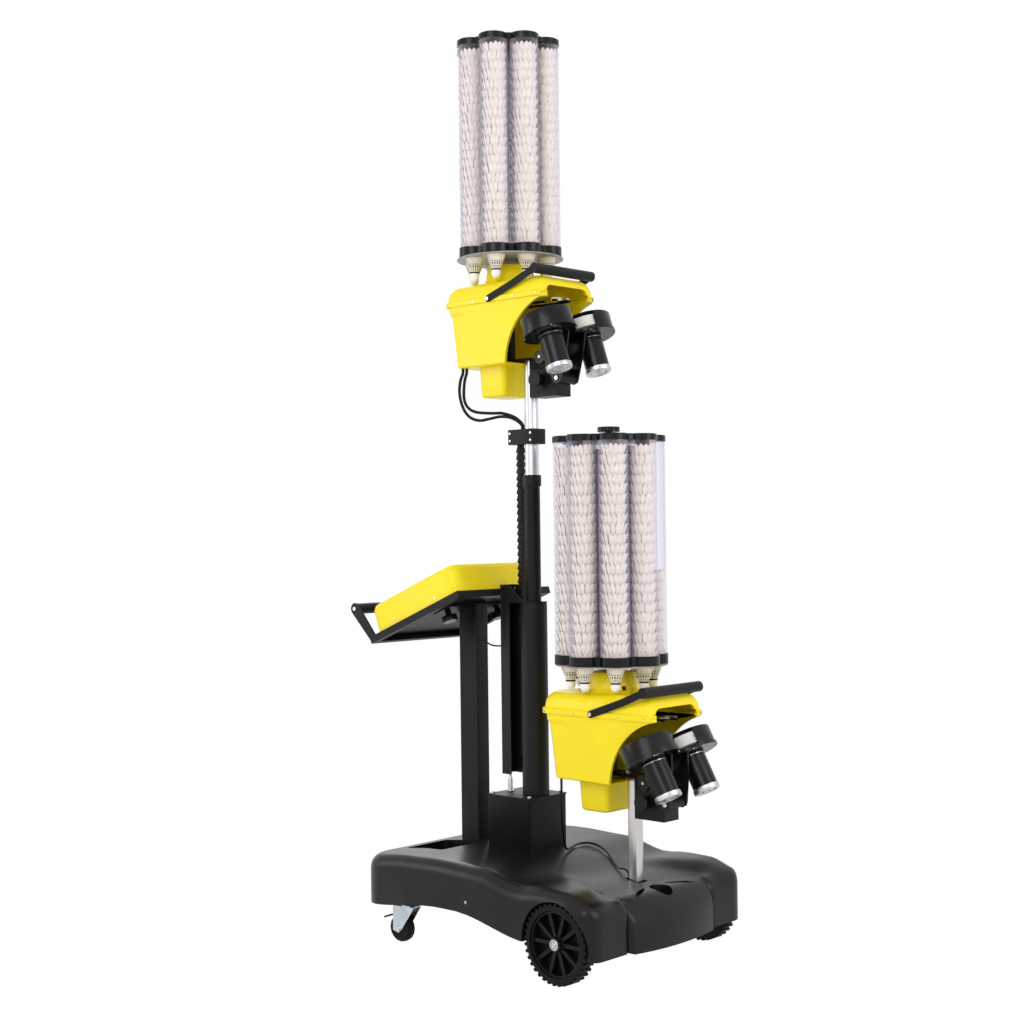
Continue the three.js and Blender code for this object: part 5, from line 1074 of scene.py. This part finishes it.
def wheel(side, sign):
    middle = turned(AXLE_X + SHIFT, sign * TYRE_Y, AXLE_Z, rx=90)
    tyre = lathed([(82.8, -19.6), (90, -20), (95.5, -18.6), (98.3, -14), (98.9, -6), (98.9, 6), (98.3, 14),
                   (95.5, 18.6), (90, 20), (82.8, 19.6)], 144, middle, closed=True)
    rib = [(93.5, -4.2), (99.6, -4.2), (101.5, -3.2), (101.5, 3.2), (99.6, 4.2), (93.5, 4.2)]
    for k in range(RIBS):
        for low, high, lean in ((-19.4, 0.6, RIB_LEAN), (-0.6, 19.4, -RIB_LEAN)):
            loft([[(r, t + lean * (h / 10), h) for r, t in rib] for h in (low, high)], tyre,
                 middle @ turned(rz=360 / RIBS * k))
    body = "front_wheel_" + side
    place("tyre_" + side, tyre, body, "tyre_rubber", node="front_tyre_" + side, smooth=40)
    hub = facing_out(AXLE_X + SHIFT, sign, HUB_Y, AXLE_Z)
    ring = lathed([(9.8, -3), (13.6, -3), (13.6, 1.6), (12.8, 2.2), (9.8, 2.2)], 40, hub, closed=True)
    place_screws("hub_ring_" + side, ring, body)
    end = lathed([(0, 0.2), (8.6, 0.2), (8.6, 1.6), (0, 1.6)], 32, hub)
    screw(end, hub @ turned(z=1.4), 5, 3)
    place_screws("axle_end_" + side, end, "cart")


for side, sign in SIDES.items():
    wheel(side, sign)

# Screws of the cart, the mast's clamp and the casters: the walls that they sit on, and their places
BOX_LID_TOP, CONSOLE_WALL, BAR_WALL, CLAMP_WALL = 399, 178.8, 187, -25.5
BOX_SCREWS = ((-74, -65), (-74, 65), (62, -65), (62, 65))
COVER_SCREW, CONSOLE_SCREWS, BAR_SCREW = (69, 163), ((-347, 878), (-180, 943)), (-507, 905)
CLAMP_SCREWS = ((-30, 1376), (-30, 1396), (47, 1376), (47, 1396))
CASTER_X, CASTER_Y, CASTER_TURN = -214, 255, 8
FORK_HALF, FORK_X, FORK_Z = 20.0, -26, 37.5


def on_wall(bm, at, side, wall, radius, height):
    screw(bm, facing_out(at[0] + SHIFT, side, wall, at[1]), radius, height)


def cart_screws():
    bm = bmesh.new()
    for x, y in BOX_SCREWS:
        screw(bm, turned(x + SHIFT, y, BOX_LID_TOP), 5.5, 5)
    for sign in (-1, 1):
        on_wall(bm, COVER_SCREW, sign, HALF_W, 4, 1.5)
        for at in CONSOLE_SCREWS:
            on_wall(bm, at, sign, CONSOLE_WALL, 4, 1.6)
        on_wall(bm, BAR_SCREW, sign, BAR_WALL, 6, 3)
    place_screws("cart_screws", bm, "cart")


def clamp_screws():
    bm = bmesh.new()
    for x, z in CLAMP_SCREWS:
        screw(bm, turned(x + SHIFT, CLAMP_WALL, z, rx=90), 3.4, 2.4)
    place_screws("clamp_screws", bm, "lift_stage")


def caster_nuts(side, sign):
    bm = bmesh.new()
    swivel = turned(CASTER_X + SHIFT, sign * CASTER_Y, 0, rz=CASTER_TURN)
    for cheek in (-1, 1):
        screw(bm, swivel @ facing_out(FORK_X, cheek, FORK_HALF, FORK_Z), 7, 3.4, socket=False)
    place("caster_nuts_" + side, bm, "caster_" + side, "screw_steel", smooth=25)


cart_screws()
clamp_screws()
for side, sign in SIDES.items():
    caster_nuts(side, sign)
